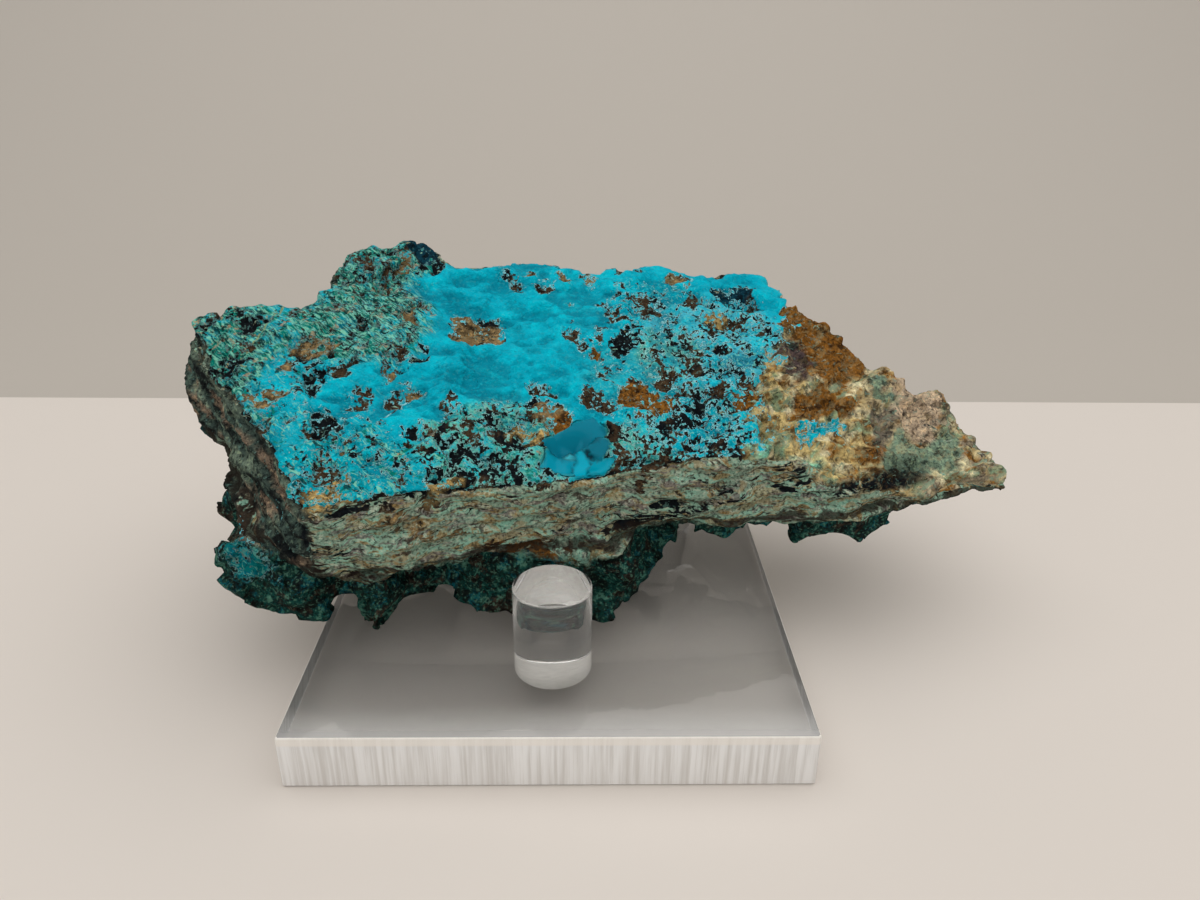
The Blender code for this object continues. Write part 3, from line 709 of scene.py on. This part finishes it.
    def folded(self, s: Sketch, q: object) -> bpy.types.NodeSocket:
        """Return the place in the bedding with its gentle folds."""
        fold = s.node("ShaderNodeCombineXYZ")
        broad = s.math("MULTIPLY", s.cloud(q, 24.0, 2.0, 0.5), 8.0)
        s.feed(fold.inputs[2], s.math("MULTIPLY_ADD", s.cloud(q, 5.0, 2.0, 0.5), 2.5, broad))
        moved = s.node("ShaderNodeVectorMath", operation="ADD")
        s.feed(moved.inputs[0], q)
        s.feed(moved.inputs[1], fold.outputs[0])
        return moved.outputs[0]

    def host(self, s: Sketch, bed: object, sharp: object) -> bpy.types.NodeSocket:
        """Return the colour of the bedded host rock of the sides."""
        broad = s.swing(s.cloud(bed, (10, 10, 2.6), 3.0, 0.65))
        colour = s.ramp(s.math("MULTIPLY_ADD", broad, 0.18, 0.5), (
            (0.15, tone(112, 130, 118)), (0.4, tone(136, 162, 142)), (0.6, tone(142, 184, 162)),
            (0.85, tone(146, 202, 180))))
        layers = (
            # Wavelengths along and across the bedding, where it begins and is full, colour, share
            ((8.0, 8.0, 2.0), (0.2, 0.9), tone(158, 142, 106), 0.75),
            ((5.0, 5.0, 1.4), (0.4, 1.0), tone(146, 118, 70), 0.8),
            ((6.0, 6.0, 1.3), (0.5, 1.1), tone(118, 112, 108), 0.85),
            ((4.0, 4.0, 0.8), (0.8, 1.5), tone(196, 208, 186), 0.65),
            ((5.0, 5.0, 1.0), (0.7, 1.2), tone(70, 60, 52), 0.85),
            ((8.0, 8.0, 0.9), (1.2, 1.6), tone(28, 26, 28), 0.9),
        )
        for index, (lengths, (low, high), tint, most) in enumerate(layers):
            cloud = s.swing(s.cloud(bed, lengths, 3.0, 0.72, 0.4, shift=7.3 * index + 3.0))
            colour = s.mix(s.band(cloud, low, high, 0.0, most), colour, tint)
        colour = s.mix(s.band(sharp, 0.0, -1.8, 0.0, 0.7), colour, tone(46, 42, 38))
        return s.mix(s.band(sharp, 0.5, 1.8, 0.0, 0.45), colour, tone(200, 200, 176))

    def underside(self, s: Sketch, q: object, sharp: object) -> bpy.types.NodeSocket:
        """Return the colour of the deep teal and green broken underside."""
        cloud = s.swing(s.cloud(q, 8.0, 4.5, 0.7, warp=0.6))
        colour = s.ramp(s.math("MULTIPLY_ADD", cloud, 0.2, 0.5), (
            (0.12, tone(18, 20, 20)), (0.3, tone(70, 60, 50)), (0.4, tone(22, 48, 48)),
            (0.5, tone(20, 74, 68)), (0.6, tone(32, 62, 54)), (0.7, tone(10, 90, 102)),
            (0.82, tone(54, 108, 90)), (0.92, tone(0, 112, 134))))
        second = s.swing(s.cloud(q, 3.0, 3.5, 0.7, shift=29.0))
        colour = s.mix(s.band(second, 0.5, -1.0, 0.0, 0.85), colour, tone(26, 25, 22))
        colour = s.mix(s.band(second, 0.6, 1.5, 0.0, 0.6), colour, tone(92, 144, 124))
        colour = s.mix(s.band(sharp, 0.6, 1.7, 0.0, 0.45), colour, tone(104, 150, 128))
        return s.mix(s.band(sharp, -0.3, -1.5, 0.0, 0.7), colour, tone(10, 14, 14))


@dataclass
class Rock:
    """The rock: a fine skin over its solid, weathered and coloured in its bedding frame."""

    node: str = "chrysocolla_rock"
    voxel: float = 0.6 * MM
    smoothing: int = 8
    triangles: int = 190_000
    bedding: BeddingFrame = field(default_factory=BeddingFrame)
    crust_height: float = 0.45
    host_line: tuple = ((5, 43), (25, 54), (43, 69), (66, 77), (90, 84))
    base_line: tuple = ((-50, 20, 60, 100), (11, 9, 6, 0.5))
    carried_by: tuple = ("peg_rear_left", "peg_rear_right")
    seat_gap: float = 0.2 * MM

    def build(self) -> bpy.types.Object:
        """Build, weather and dress the rock, and return it."""
        piece = self.copy_solid()
        self.skin(piece)
        self.weather(piece)
        self.thin_out(piece)
        piece.data.materials.clear()
        piece.data.materials.append(RockFinish(self.bedding).build())
        piece.data.shade_smooth()
        return piece

    def copy_solid(self) -> bpy.types.Object:
        """Return a merged copy of the solid."""
        bpy.ops.object.select_all(action="DESELECT")
        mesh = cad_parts[self.node].data.copy()
        piece = bpy.data.objects.new("rock_specimen", mesh)
        bpy.context.scene.collection.objects.link(piece)
        bpy.context.view_layer.objects.active = piece
        piece.select_set(True)
        bpy.ops.object.mode_set(mode="EDIT")
        bpy.ops.mesh.select_all(action="SELECT")
        bpy.ops.mesh.remove_doubles(threshold=1e-6)
        bpy.ops.object.mode_set(mode="OBJECT")
        return piece

    def skin(self, piece: bpy.types.Object) -> None:
        """Give the rock an even, fine skin without the solid's facets."""
        remesh = piece.modifiers.new("fine skin", "REMESH")
        remesh.mode = "VOXEL"
        remesh.voxel_size = self.voxel
        bpy.ops.object.modifier_apply(modifier=remesh.name)
        smooth = piece.modifiers.new("soften", "SMOOTH")
        smooth.factor = 0.5
        smooth.iterations = self.smoothing
        bpy.ops.object.modifier_apply(modifier=smooth.name)

    def thin_out(self, piece: bpy.types.Object) -> None:
        """Take triangles away where the weathered skin is flat."""
        piece.data.calc_loop_triangles()
        thin = piece.modifiers.new("thin out", "DECIMATE")
        thin.ratio = min(1.0, self.triangles / len(piece.data.loop_triangles))
        bpy.ops.object.modifier_apply(modifier=thin.name)

    def smoothed_normals(self, mesh: bpy.types.Mesh, rounds: int) -> Array:
        """Return the mesh's vertex normals, averaged with their neighbours'.

        Args:
            mesh: The rock's mesh.
            rounds: How many times each normal takes up its neighbours'.

        Returns:
            Unit normals in the bedding frame.
        """
        count = len(mesh.vertices)
        normals = np.zeros(count * 3, np.float32)
        mesh.vertices.foreach_get("normal", normals)
        normals = normals.reshape(-1, 3).astype(float)
        edges = np.zeros(len(mesh.edges) * 2, np.int32)
        mesh.edges.foreach_get("vertices", edges)
        edges = edges.reshape(-1, 2)
        for _ in range(rounds):
            total = normals.copy()
            for axis in range(3):
                total[:, axis] += np.bincount(edges[:, 0], normals[edges[:, 1], axis], count)
                total[:, axis] += np.bincount(edges[:, 1], normals[edges[:, 0], axis], count)
            normals = total / np.linalg.norm(total, axis=1)[:, None]
        turn = np.array(self.bedding.matrix().to_3x3().normalized())
        return normals @ turn

    def weather(self, piece: bpy.types.Object) -> None:
        """Work out the grounds and the relief, and move the skin."""
        mesh = piece.data
        count = len(mesh.vertices)
        places = np.zeros(count * 3, np.float32)
        mesh.vertices.foreach_get("co", places)
        places = places.reshape(-1, 3).astype(float)
        back = np.array(self.bedding.matrix().inverted())
        q = places @ back[:3, :3].T + back[:3, 3]
        facing = self.smoothed_normals(mesh, 4)
        broad = self.smoothed_normals(mesh, 14)
        fields = self.grounds(q, broad)
        rise = self.relief(q, facing, fields)
        turn = np.array(self.bedding.matrix().to_3x3().normalized())
        places += (facing @ turn.T) * rise[:, None] * MM
        low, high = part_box(self.node)
        places = np.clip(places, np.array(low), np.array(high))
        self.rest_on_pegs(places)
        mesh.vertices.foreach_set("co", places.astype(np.float32).ravel())
        mesh.update()
        for name in ("cover", "lively", "stain", "deep", "glass", "relief", "streaks", "moss", "grainy",
                     "crease_shade"):
            layer = mesh.attributes.new(name, "FLOAT", "POINT")
            layer.data.foreach_set("value", fields[name].astype(np.float32))
        for name in ("tint", "ground"):
            layer = mesh.attributes.new(name, "FLOAT_COLOR", "POINT")
            colours = np.column_stack([fields[name], np.ones(count)])
            layer.data.foreach_set("color", colours.astype(np.float32).ravel())

    def rest_on_pegs(self, places: Array) -> None:
        """Keep the skin just above the tops of the pegs that carry it.

        Args:
            places: Points of the skin in metres, which are changed.
        """
        for name in self.carried_by:
            low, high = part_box(name)
            beside = np.hypot(places[:, 0] - (low.x + high.x) / 2, places[:, 1] - (low.y + high.y) / 2)
            over = beside < (high.x - low.x) / 2 + self.voxel
            places[over, 2] = np.maximum(places[over, 2], high.z + self.seat_gap)

    @staticmethod
    def cloud(points: Array, lengths: tuple, octaves: int = 3, seed: float = 0.0) -> Array:
        """Return fractal noise at points, about -1 to 1, with a wavelength for each axis.

        Args:
            points: Points of the bedding frame.
            lengths: Wavelengths in millimetres.
            octaves: Number of layers of detail.
            seed: Offset into the noise.

        Returns:
            One value for each point.
        """
        scaled = points / np.array(lengths) + seed
        return np.array([noise.fractal(p, 0.9, 2.0, octaves) for p in map(Vector, scaled)])

    def blotch(self, ground: Array, q: Array, mask: Array, layers: tuple) -> None:
        """Mix cloudy patches of colour into the ground.

        Args:
            ground: Colours of the ground, which are changed.
            q: Points of the bedding frame.
            mask: How far the patches may show at each point.
            layers: For each colour its wavelengths, seed, where it begins and is full, and itself.
        """
        for lengths, seed, (low, high), colour in layers:
            share = smooth_step(low, high, self.cloud(q, lengths, 3, seed)) * mask
            ground += (np.array(colour) - ground) * share[:, None]

    def grounds(self, q: Array, broad: Array) -> dict[str, Array]:
        """Work out where crust, bare ground, stains and the dark underside lie.

        Args:
            q: Points of the skin in the bedding frame.
            broad: Smoothed normals there.

        Returns:
            The named fields of the finish.
        """
        count = len(q)
        drift = np.column_stack([self.cloud(q, (6, 6, 6), 3, 3.1), self.cloud(q, (6, 6, 6), 3, 7.7),
                                 np.zeros(count)])
        warped = q + drift * 2.2
        level = np.full(count, 1.6)
        lively = np.full(count, 0.2)
        streaks = np.zeros(count)
        moss = np.zeros(count)
        tint = np.tile(np.array(TURQUOISE), (count, 1))
        patchy = smooth_step(-0.25, 0.2, self.cloud(q, (4.5, 4.5, 4.5), 2, 15.0))
        for zone in ZONES:
            share = zone.weight(warped)
            level += (zone.level - level) * share
            lively += (zone.lively - lively) * share
            streaks += (zone.streaks - streaks) * share
            moss += (zone.moss - moss) * share
            tint += (np.array(zone.tint) - tint) * (share * zone.strength * (0.3 + 0.7 * patchy))[:, None]
        ground = np.tile(np.array(Ground.BROWN.colour), (count, 1))
        dark = smooth_step(-0.45, -0.05, self.cloud(q, (5, 5, 5), 3, 21.0))
        ground += (np.array(Ground.BLACK.colour) - ground) * dark[:, None]
        depth = np.full(count, 0.4)
        nearest = np.full(count, -9.0)
        for patch in PATCHES:
            inside = patch.reach(warped) - 0.5 * moss
            nearest = np.maximum(nearest, np.minimum(inside, patch.ground.hold))
            share = smooth_step(-1.0, 0.0, inside)
            ground += (np.array(patch.ground.colour) - ground) * share[:, None]
            depth += (patch.ground.depth - depth) * share
        near = smooth_step(-2.5, -0.3, nearest)
        lively = np.maximum(lively, 0.6 * near)
        cover = np.minimum(level, -nearest * 1.1 - 0.1)
        cover += lively * self.cloud(q, (4.4, 4.4, 4.4), 2, 11.0) * 1.7
        edge_v, edge_u = zip(*self.host_line)
        host = warped[:, 0] + drift[:, 0] * 3.0 - np.interp(warped[:, 1], edge_v, edge_u)
        cover = np.minimum(cover, -host * 0.5 + drift[:, 1])
        brink = (broad[:, 2] - 0.62) * 7.0
        brink += 1.6 * np.minimum(brink + 0.6, 0.0)
        lively = np.maximum(lively, 0.8 * smooth_step(2.2, 0.2, brink))
        cover = np.minimum(cover, brink + drift[:, 1])
        over_base = q[:, 2] - np.interp(q[:, 0], *self.base_line)
        before_edge = smooth_step(4.4, 2.6, q[:, 1] + drift[:, 0]) * smooth_step(64.0, 54.0, q[:, 0])
        cover = np.minimum(cover, over_base * 0.8) - 6.0 * before_edge
        for island in ISLANDS:
            inside = island.reach(warped)
            cover = np.maximum(cover, inside * 0.7 + drift[:, 0] * 1.1)
            lively = np.maximum(lively, 0.9 * smooth_step(-2.0, 1.0, inside))
        upper = smooth_step(0.3, 0.6, broad[:, 2]) * smooth_step(-1.0, 1.0, over_base)
        upper *= 1.0 - before_edge
        on_host = smooth_step(-1.0, 1.5, host) * upper
        stain = upper.copy()
        gold = np.array(tone(204, 182, 124))
        grey = np.array(tone(158, 146, 124))
        along = smooth_step(70.0, 96.0, warped[:, 0] + drift[:, 0] * 6.0)[:, None]
        ground += ((gold + (grey - gold) * along) - ground) * on_host[:, None]
        self.blotch(ground, q, on_host, (
            ((7, 4, 4), 91.0, (0.0, 0.3), tone(150, 104, 44)),
            ((7, 4, 4), 93.0, (0.1, 0.35), tone(134, 150, 118)),
            ((5, 3, 3), 95.0, (0.1, 0.4), tone(216, 206, 168)),
        ))
        strayed = warped + drift * 1.5
        grainy = on_host.copy()
        # Painted shade: the left end face, picked by facing toward −u, is darkened to grey-green and shown
        # through the stain mask; the blotches vary its tone.
        end = smooth_step(0.25, 0.75, -broad[:, 0]) * (1.0 - upper)
        ground += (np.array(tone(64, 80, 74)) - ground) * end[:, None]
        self.blotch(ground, q, end, (
            ((9, 14, 4), 97.0, (0.0, 0.4), tone(104, 120, 106)),
            ((8, 12, 3), 99.0, (0.15, 0.45), tone(126, 110, 94)),
            ((6, 12, 2), 101.0, (0.1, 0.35), tone(26, 30, 30)),
        ))
        stain = np.maximum(stain, end * 1.3)
        for patch in HOST_PATCHES:
            inside = patch.reach(strayed)
            share = smooth_step(-1.6, 1.4, inside)
            if not patch.on_side:
                share = share * on_host
            ground += (np.array(patch.ground.colour) - ground) * smooth_step(0.1, 0.7, share)[:, None]
            stain = np.maximum(stain, share * 0.62)
            grainy *= 1.0 - 0.6 * smooth_step(0.1, 0.7, share)
        # Painted shade in the crease along the slab's bottom edge, on the sides only; the same band also
        # sinks a shallow groove.
        crease_shade = np.exp(-((q[:, 2] - 1.6 + drift[:, 1] * 1.5) / 1.5) ** 2) * (1.0 - upper)
        deep = smooth_step(0.8, -1.4, q[:, 2] + drift[:, 0] * 1.2)
        # Faces that look down join the underside too and take its darker colours, partly the lower layer's
        # own colour and partly painted shade under the rock.
        deep = np.maximum(deep, smooth_step(-0.35, -0.7, broad[:, 2]) * 0.9)
        moss = np.maximum(moss, deep * 0.8)
        chip_reach, _, chip_tint = self.chip_breaks(q + drift * 0.5)
        glass = smooth_step(-0.25, 0.35, chip_reach) * smooth_step(11.0, 13.0, q[:, 2])
        cover += (2.0 - cover) * glass
        lively = lively * (1.0 - glass)
        tint += (chip_tint - tint) * glass[:, None]
        # Painted shade: crust tints on the underside are darkened by up to 70 percent.
        tint *= (1.0 - 0.7 * deep)[:, None]
        ground = np.clip(ground, 0.0, 1.0)
        return {"cover": np.clip(cover, -6.0, 2.5), "lively": lively, "stain": stain, "deep": deep,
                "glass": glass, "tint": np.clip(tint, 0.0, 1.0), "ground": ground, "depth": depth,
                "upper": upper, "host": on_host, "grainy": grainy, "streaks": streaks, "moss": moss,
                "crease_shade": crease_shade}

    def relief(self, q: Array, facing: Array, fields: dict[str, Array]) -> Array:
        """Return how far the skin stands out, in millimetres, and note the relief of the crust.

        Args:
            q: Points of the skin in the bedding frame.
            facing: Normals there.
            fields: The grounds, to which the relief is added.

        Returns:
            The move of each point along its normal.
        """
        upper, deep, glass = fields["upper"], fields["deep"], fields["glass"]
        host = fields["host"]
        crust = smooth_step(-0.25, 0.35, fields["cover"])
        busy = smooth_step(0.3, 1.0, fields["lively"]) * upper
        dunes = self.cloud(q, (11, 8, 8), 3, 31.0)
        scarps = smooth_step(-0.05, 0.05, dunes) * 0.55
        scarps += smooth_step(-0.04, 0.04, self.cloud(q, (8, 5.5, 5.5), 3, 37.0)) * 0.4
        rise = (dunes * 1.1 + scarps - 0.5) * upper
        scallops = self.cloud(q, (4, 3, 3), 2, 39.0)
        rise += scallops * 0.55 * upper
        # This height also drives the painted shade in the crust's hollows.
        fields["relief"] = rise + scallops * 0.3
        rise = rise + (crust - 1.0) * (self.crust_height + fields["depth"] * 0.7) * upper
        rough = self.cloud(q, (3.4, 3.4, 3.4), 2, 41.0)
        crumbs = 0.3 - np.abs(self.cloud(q, (5.5, 5.5, 5.5), 2, 43.0))
        rise += rough * (1.1 * busy + 0.7 * upper * (1.0 - crust) + 0.8 * host)
        calm = smooth_step(88.0, 70.0, q[:, 0])
        rise += crumbs * (0.8 * busy + (1.2 + 0.8 * calm) * host)
        rise *= 1.0 - glass
        side = (1.0 - upper) * (1.0 - deep)
        beds = self.cloud(q, (13, 13, 1.8), 3, 47.0)
        rise += side * (beds * 1.5 + rough * 0.5) - 0.6 * fields["crease_shade"]
        broken = 0.4 + 0.6 * smooth_step(60.0, 40.0, q[:, 0])
        rise += deep * broken * (self.facets(q) + rough * 0.5)
        rise += glass * self.chip_breaks(q)[1]
        return rise - 0.15

    @staticmethod
    def chip_breaks(q: Array) -> tuple[Array, Array, Array]:
        """Work out the glassy chip.

        Args:
            q: Points of the skin in the bedding frame.

        Returns:
            How far inside the chip each point is, the height of its break and its colour.
        """
        reach = np.full(len(q), -9.0)
        height = np.zeros(len(q))
        tint = np.zeros((len(q), 3))
        second_best = reach.copy()
        for facet in CHIP:
            along = q[:, 0] - facet.place[0]
            up = q[:, 1] - facet.place[1]
            angle = math.radians(facet.turn)
            first = np.abs(along * math.cos(angle) + up * math.sin(angle)) - facet.half_size[0]
            second = np.abs(up * math.cos(angle) - along * math.sin(angle)) - facet.half_size[1]
            inside = -np.maximum(first, second)
            nearer = inside > reach
            second_best = np.maximum(second_best, np.minimum(reach, inside))
            reach = np.maximum(reach, inside)
            height[nearer] = (facet.height + along * facet.slope[0] + up * facet.slope[1])[nearer]
            # Each break's tint, partly painted light.
            tint[nearer] = facet.tint
        crack = smooth_step(0.75, 0.15, reach - second_best)
        crack = np.maximum(crack, 0.7 * smooth_step(0.5, 0.0, reach))
        return reach, np.clip(height, -2.0, 1.2) - 0.2 * crack, tint * (1.0 - 0.65 * crack)[:, None]

    @staticmethod
    def facets(q: Array) -> Array:
        """Return the height of flat-faced broken ground, one tilted facet for each cell."""
        heights = []
        for point in q / np.array((5.5, 5.0, 4.5)):
            place = Vector(point)
            centre = noise.voronoi(place)[1][0]
            tilt = noise.cell_vector(centre * 23.0) - Vector((0.5, 0.5, 0.5))
            step = noise.cell(centre * 31.0) - 0.5
            heights.append(2.6 * tilt.dot(place - centre) + 1.1 * step)
        return np.array(heights)


@dataclass(frozen=True)
class ClearAcrylic:
    """Polished acrylic, clear as water.

    Glow, where it is given, is a painted glow: toward the front edge the acrylic turns less clear and so
    milky white, standing in for the light that edge catches. It gives where that begins, where that edge is,
    and how clear the acrylic is there.
    """

    name: str = "polished acrylic"
    glow: tuple = ()
    tint: Colour = (0.985, 0.992, 0.99)
    roughness: float = 0.01
    refraction: float = 1.49
    clearness: float = 0.97

    def build(self) -> bpy.types.Material:
        """Draw the material and return it."""
        s = Sketch(self.name)
        s.set(Base_Color=self.tint, Transmission_Weight=self.clearness, IOR=self.refraction)
        place = s.node("ShaderNodeTexCoord").outputs["Object"]
        if self.glow:
            start, edge, least = self.glow
            across = s.node("ShaderNodeSeparateXYZ")
            s.feed(across.inputs[0], place)
            # Painted glow: the acrylic turns milky toward the front edge.
            s.set(Transmission_Weight=s.band(across.outputs[1], start, edge, self.clearness, least))
        smear = s.cloud(place, 16 * MM, 3.0)
        s.set(Roughness=s.band(smear, 0.4, 0.75, self.roughness, self.roughness + 0.03))
        return s.material


@dataclass(frozen=True)
class SawnAcrylic:
    """Acrylic with the fine upright marks of a saw, which make it frosted."""

    tint: Colour = (0.97, 0.965, 0.955)
    refraction: float = 1.49
    mark_length: tuple = (1.1 * MM, 1.1 * MM, 40 * MM)
    plate_top: float = 11.8 * MM

    def build(self) -> bpy.types.Material:
        """Draw the material and return it."""
        s = Sketch("sawn acrylic")
        place = s.node("ShaderNodeTexCoord").outputs["Object"]
        marks = s.swing(s.cloud(place, self.mark_length, 4.0, 0.65))
        height = s.node("ShaderNodeSeparateXYZ")
        s.feed(height.inputs[0], place)
        # Painted highlight: the upper 1.6 to 2.2 mm of the sawn edges turn near white, the bright band along
        # the top of the edge; the pegs' sawn lower ends lie above it and turn near white too.
        top = s.band(height.outputs[2], self.plate_top - 2.2 * MM, self.plate_top - 1.6 * MM)
        colour = s.mix(s.band(marks, -1.6, 1.2), tone(228, 225, 221), self.tint)
        colour = s.mix(s.math("MULTIPLY", top, 0.8), colour, tone(255, 250, 242))
        s.set(Base_Color=colour, Transmission_Weight=s.band(marks, -1.5, 1.5, 0.18, 0.1))
        s.set(IOR=self.refraction, Roughness=s.band(marks, -1.5, 1.5, 0.28, 0.5))
        s.set(Normal=s.bump(marks, 0.03 * MM, 0.7))
        return s.material


@dataclass
class Stand:
    """The acrylic plate with its three pegs, at the size of their solids."""

    plate: str = "stand_base"
    pegs: tuple = ("peg_front", "peg_rear_left", "peg_rear_right")
    plate_edge: float = 0.5 * MM
    peg_edge: float = 0.4 * MM
    peg_sides: int = 128
    edge_glow: tuple = (-40.0 * MM, -51.5 * MM, 0.7)

    def build(self) -> list[tuple[bpy.types.Object, str, str]]:
        """Build the plate and pegs, each with the node it stands for and its finish slot."""
        clear = ClearAcrylic().build()
        plate = ClearAcrylic("polished plate", self.edge_glow).build()
        sawn = SawnAcrylic().build()
        made = [(self.make_plate(plate, sawn), self.plate, "clear_acrylic_plate")]
        for name in self.pegs:
            made.append((self.make_peg(name, clear, sawn), name, "clear_acrylic_peg"))
        return made

    @staticmethod
    def bevel_sharp_edges(width: float, segments: int, angle: float) -> None:
        """Round the active object's sharp edges in edit mode."""
        bpy.ops.object.mode_set(mode="EDIT")
        bpy.ops.mesh.select_mode(type="EDGE")
        bpy.ops.mesh.select_all(action="DESELECT")
        bpy.ops.mesh.edges_select_sharp(sharpness=angle)
        bpy.ops.mesh.bevel(offset=width, segments=segments, affect="EDGES")
        bpy.ops.object.mode_set(mode="OBJECT")

    def make_plate(self, clear: bpy.types.Material, sawn: bpy.types.Material) -> bpy.types.Object:
        """Build the plate with polished faces and sawn edges."""
        low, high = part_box(self.plate)
        bpy.ops.object.select_all(action="DESELECT")
        bpy.ops.mesh.primitive_cube_add(size=1.0, location=(low + high) / 2, scale=high - low)
        piece = bpy.context.object
        piece.name = "acrylic_plate"
        bpy.ops.object.transform_apply(location=True, rotation=True, scale=True)
        self.bevel_sharp_edges(self.plate_edge, 3, math.radians(60))
        piece.data.materials.append(clear)
        piece.data.materials.append(sawn)
        for face in piece.data.polygons:
            face.material_index = int(abs(face.normal.z) < 0.95)
        bpy.ops.object.shade_smooth_by_angle(angle=math.radians(20))
        return piece

    def make_peg(self, name: str, clear: bpy.types.Material,
                 sawn: bpy.types.Material) -> bpy.types.Object:
        """Build one peg, polished but for its lower end."""
        low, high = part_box(name)
        bpy.ops.object.select_all(action="DESELECT")
        bpy.ops.mesh.primitive_cylinder_add(
            vertices=self.peg_sides, radius=(high.x - low.x) / 2, depth=high.z - low.z,
            location=(low + high) / 2)
        piece = bpy.context.object
        piece.name = name + "_acrylic"
        bpy.ops.object.transform_apply(location=True, rotation=True, scale=True)
        self.bevel_sharp_edges(self.peg_edge, 3, math.radians(60))
        piece.data.materials.append(clear)
        piece.data.materials.append(sawn)
        for face in piece.data.polygons:
            face.material_index = int(face.normal.z < -0.99)
        bpy.ops.object.shade_smooth_by_angle(angle=math.radians(35))
        return piece


@dataclass
class Studio:
    """Pale board, soft light and the camera of the photograph."""

    board_back: float = 151.5 * MM
    sweep_start: float = 0.3
    sweep_radius: float = 0.8
    sweep_steps: int = 24
    camera_place: tuple = (5.5 * MM, -179.8 * MM, 129.2 * MM)
    camera_right: tuple = (0.9998, -0.0181, 0.0124)
    camera_up: tuple = (-0.0037, 0.4149, 0.9099)
    camera_ahead: tuple = (0.0216, 0.9097, -0.4147)
    focal_length: float = 896.09
    frame_width: float = 1200.0
    sensor: float = 36.0

    def build(self) -> None:
        """Set up the board, the lights and the camera."""
        self.make_board()
        self.make_lights()
        self.make_camera()

    def make_board(self) -> None:
        """Lay the pale board, and behind it the lower ground that sweeps up into a backdrop."""
        bpy.ops.mesh.primitive_plane_add(size=1.0)
        board = bpy.context.object
        board.name = "board"
        board.scale = (2.4, 1.2 + self.board_back, 1.0)
        board.location = (0.0, (self.board_back - 1.2) / 2, -0.15 * MM)
        self.paint(board, tone(220, 213, 206))
        bpy.ops.mesh.primitive_plane_add(size=1.0)
        sweep = bpy.context.object
        sweep.name = "backdrop"
        sweep.scale = (6.0, 1.0, 1.0)
        sweep.location = (0.0, self.sweep_start - 0.5, -12 * MM)
        bpy.ops.object.transform_apply(location=True, rotation=True, scale=True)
        mesh = bmesh.new()
        mesh.from_mesh(sweep.data)
        rear = [edge for edge in mesh.edges if min(v.co.y for v in edge.verts) > self.sweep_start - 0.01]
        for step in range(self.sweep_steps):
            angle = math.radians(90.0) * (step + 0.5) / self.sweep_steps
            length = self.sweep_radius * math.radians(90.0) / self.sweep_steps
            rear = self.extend(mesh, rear, Vector((0.0, math.cos(angle), math.sin(angle))) * length)
        self.extend(mesh, rear, Vector((0.0, 0.0, 1.5)))
        bmesh.ops.recalc_face_normals(mesh, faces=mesh.faces)
        mesh.to_mesh(sweep.data)
        mesh.free()
        sweep.data.shade_smooth()
        self.paint(sweep, tone(187, 181, 173))

    @staticmethod
    def extend(mesh: bmesh.types.BMesh, edges: list, move: Vector) -> list:
        """Draw edges out into a new strip of faces, and return the strip's far edges."""
        made = bmesh.ops.extrude_edge_only(mesh, edges=edges)["geom"]
        corners = [item for item in made if isinstance(item, bmesh.types.BMVert)]
        bmesh.ops.translate(mesh, verts=corners, vec=move)
        return [item for item in made if isinstance(item, bmesh.types.BMEdge)
                and all(vert in corners for vert in item.verts)]

    @staticmethod
    def paint(piece: bpy.types.Object, colour: Colour) -> None:
        """Give a piece of the surroundings one plain matt colour."""
        s = Sketch(piece.name)
        s.set(Base_Color=colour, Roughness=0.7)
        piece.data.materials.append(s.material)

    def make_lights(self) -> None:
        """Hang a wide soft light overhead and a weak one in front."""
        for name, place, aim, size, power in (
                ("overhead", (0.08, 0.08, 1.1), (0.06, 0.12, 0.0), 2.0, 13.0),
                ("front", (-0.2, -1.3, 0.8), (0.0, 0.1, 0.03), 1.2, 3.0)):
            lamp = bpy.data.lights.new(name, "AREA")
            lamp.shape = "SQUARE"
            lamp.size = size
            lamp.energy = power
            lamp.color = (1.0, 0.98, 0.955)
            item = bpy.data.objects.new(name, lamp)
            bpy.context.scene.collection.objects.link(item)
            item.location = place
            item.rotation_euler = (Vector(aim) - Vector(place)).to_track_quat("-Z", "Y").to_euler()
        world = bpy.data.worlds.new("soft room")
        world.use_nodes = True
        shader = world.node_tree.nodes["Background"]
        shader.inputs[0].default_value = (1.0, 0.975, 0.945, 1.0)
        shader.inputs[1].default_value = 0.42
        bpy.context.scene.world = world
        bpy.context.scene.view_settings.view_transform = "Standard"

    def make_camera(self) -> None:
        """Put the camera where the photograph was taken from."""
        lens = bpy.data.cameras.new("camera")
        lens.sensor_width = self.sensor
        lens.lens = self.focal_length * self.sensor / self.frame_width
        lens.clip_start = 0.01
        camera = bpy.data.objects.new("camera", lens)
        bpy.context.scene.collection.objects.link(camera)
        ahead = Vector(self.camera_ahead)
        turn = Matrix((self.camera_right, self.camera_up, -ahead)).transposed()
        camera.matrix_world = Matrix.LocRotScale(self.camera_place, turn.to_quaternion(), None)
        bpy.context.scene.camera = camera


def main() -> None:
    """Build the pieces in order and report each one."""
    logging.basicConfig(level=logging.INFO, format="%(name)s: %(message)s")
    Studio().build()
    rock = Rock()
    made = [(rock.build(), rock.node, "chrysocolla_rock"), *Stand().build()]
    for piece, node, slot in made:
        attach(piece, "root")
        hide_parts(node)
        LOG.info("%s stands for %s with %d faces", piece.name, node, len(piece.data.polygons))


if __name__ == "__main__":
    main()
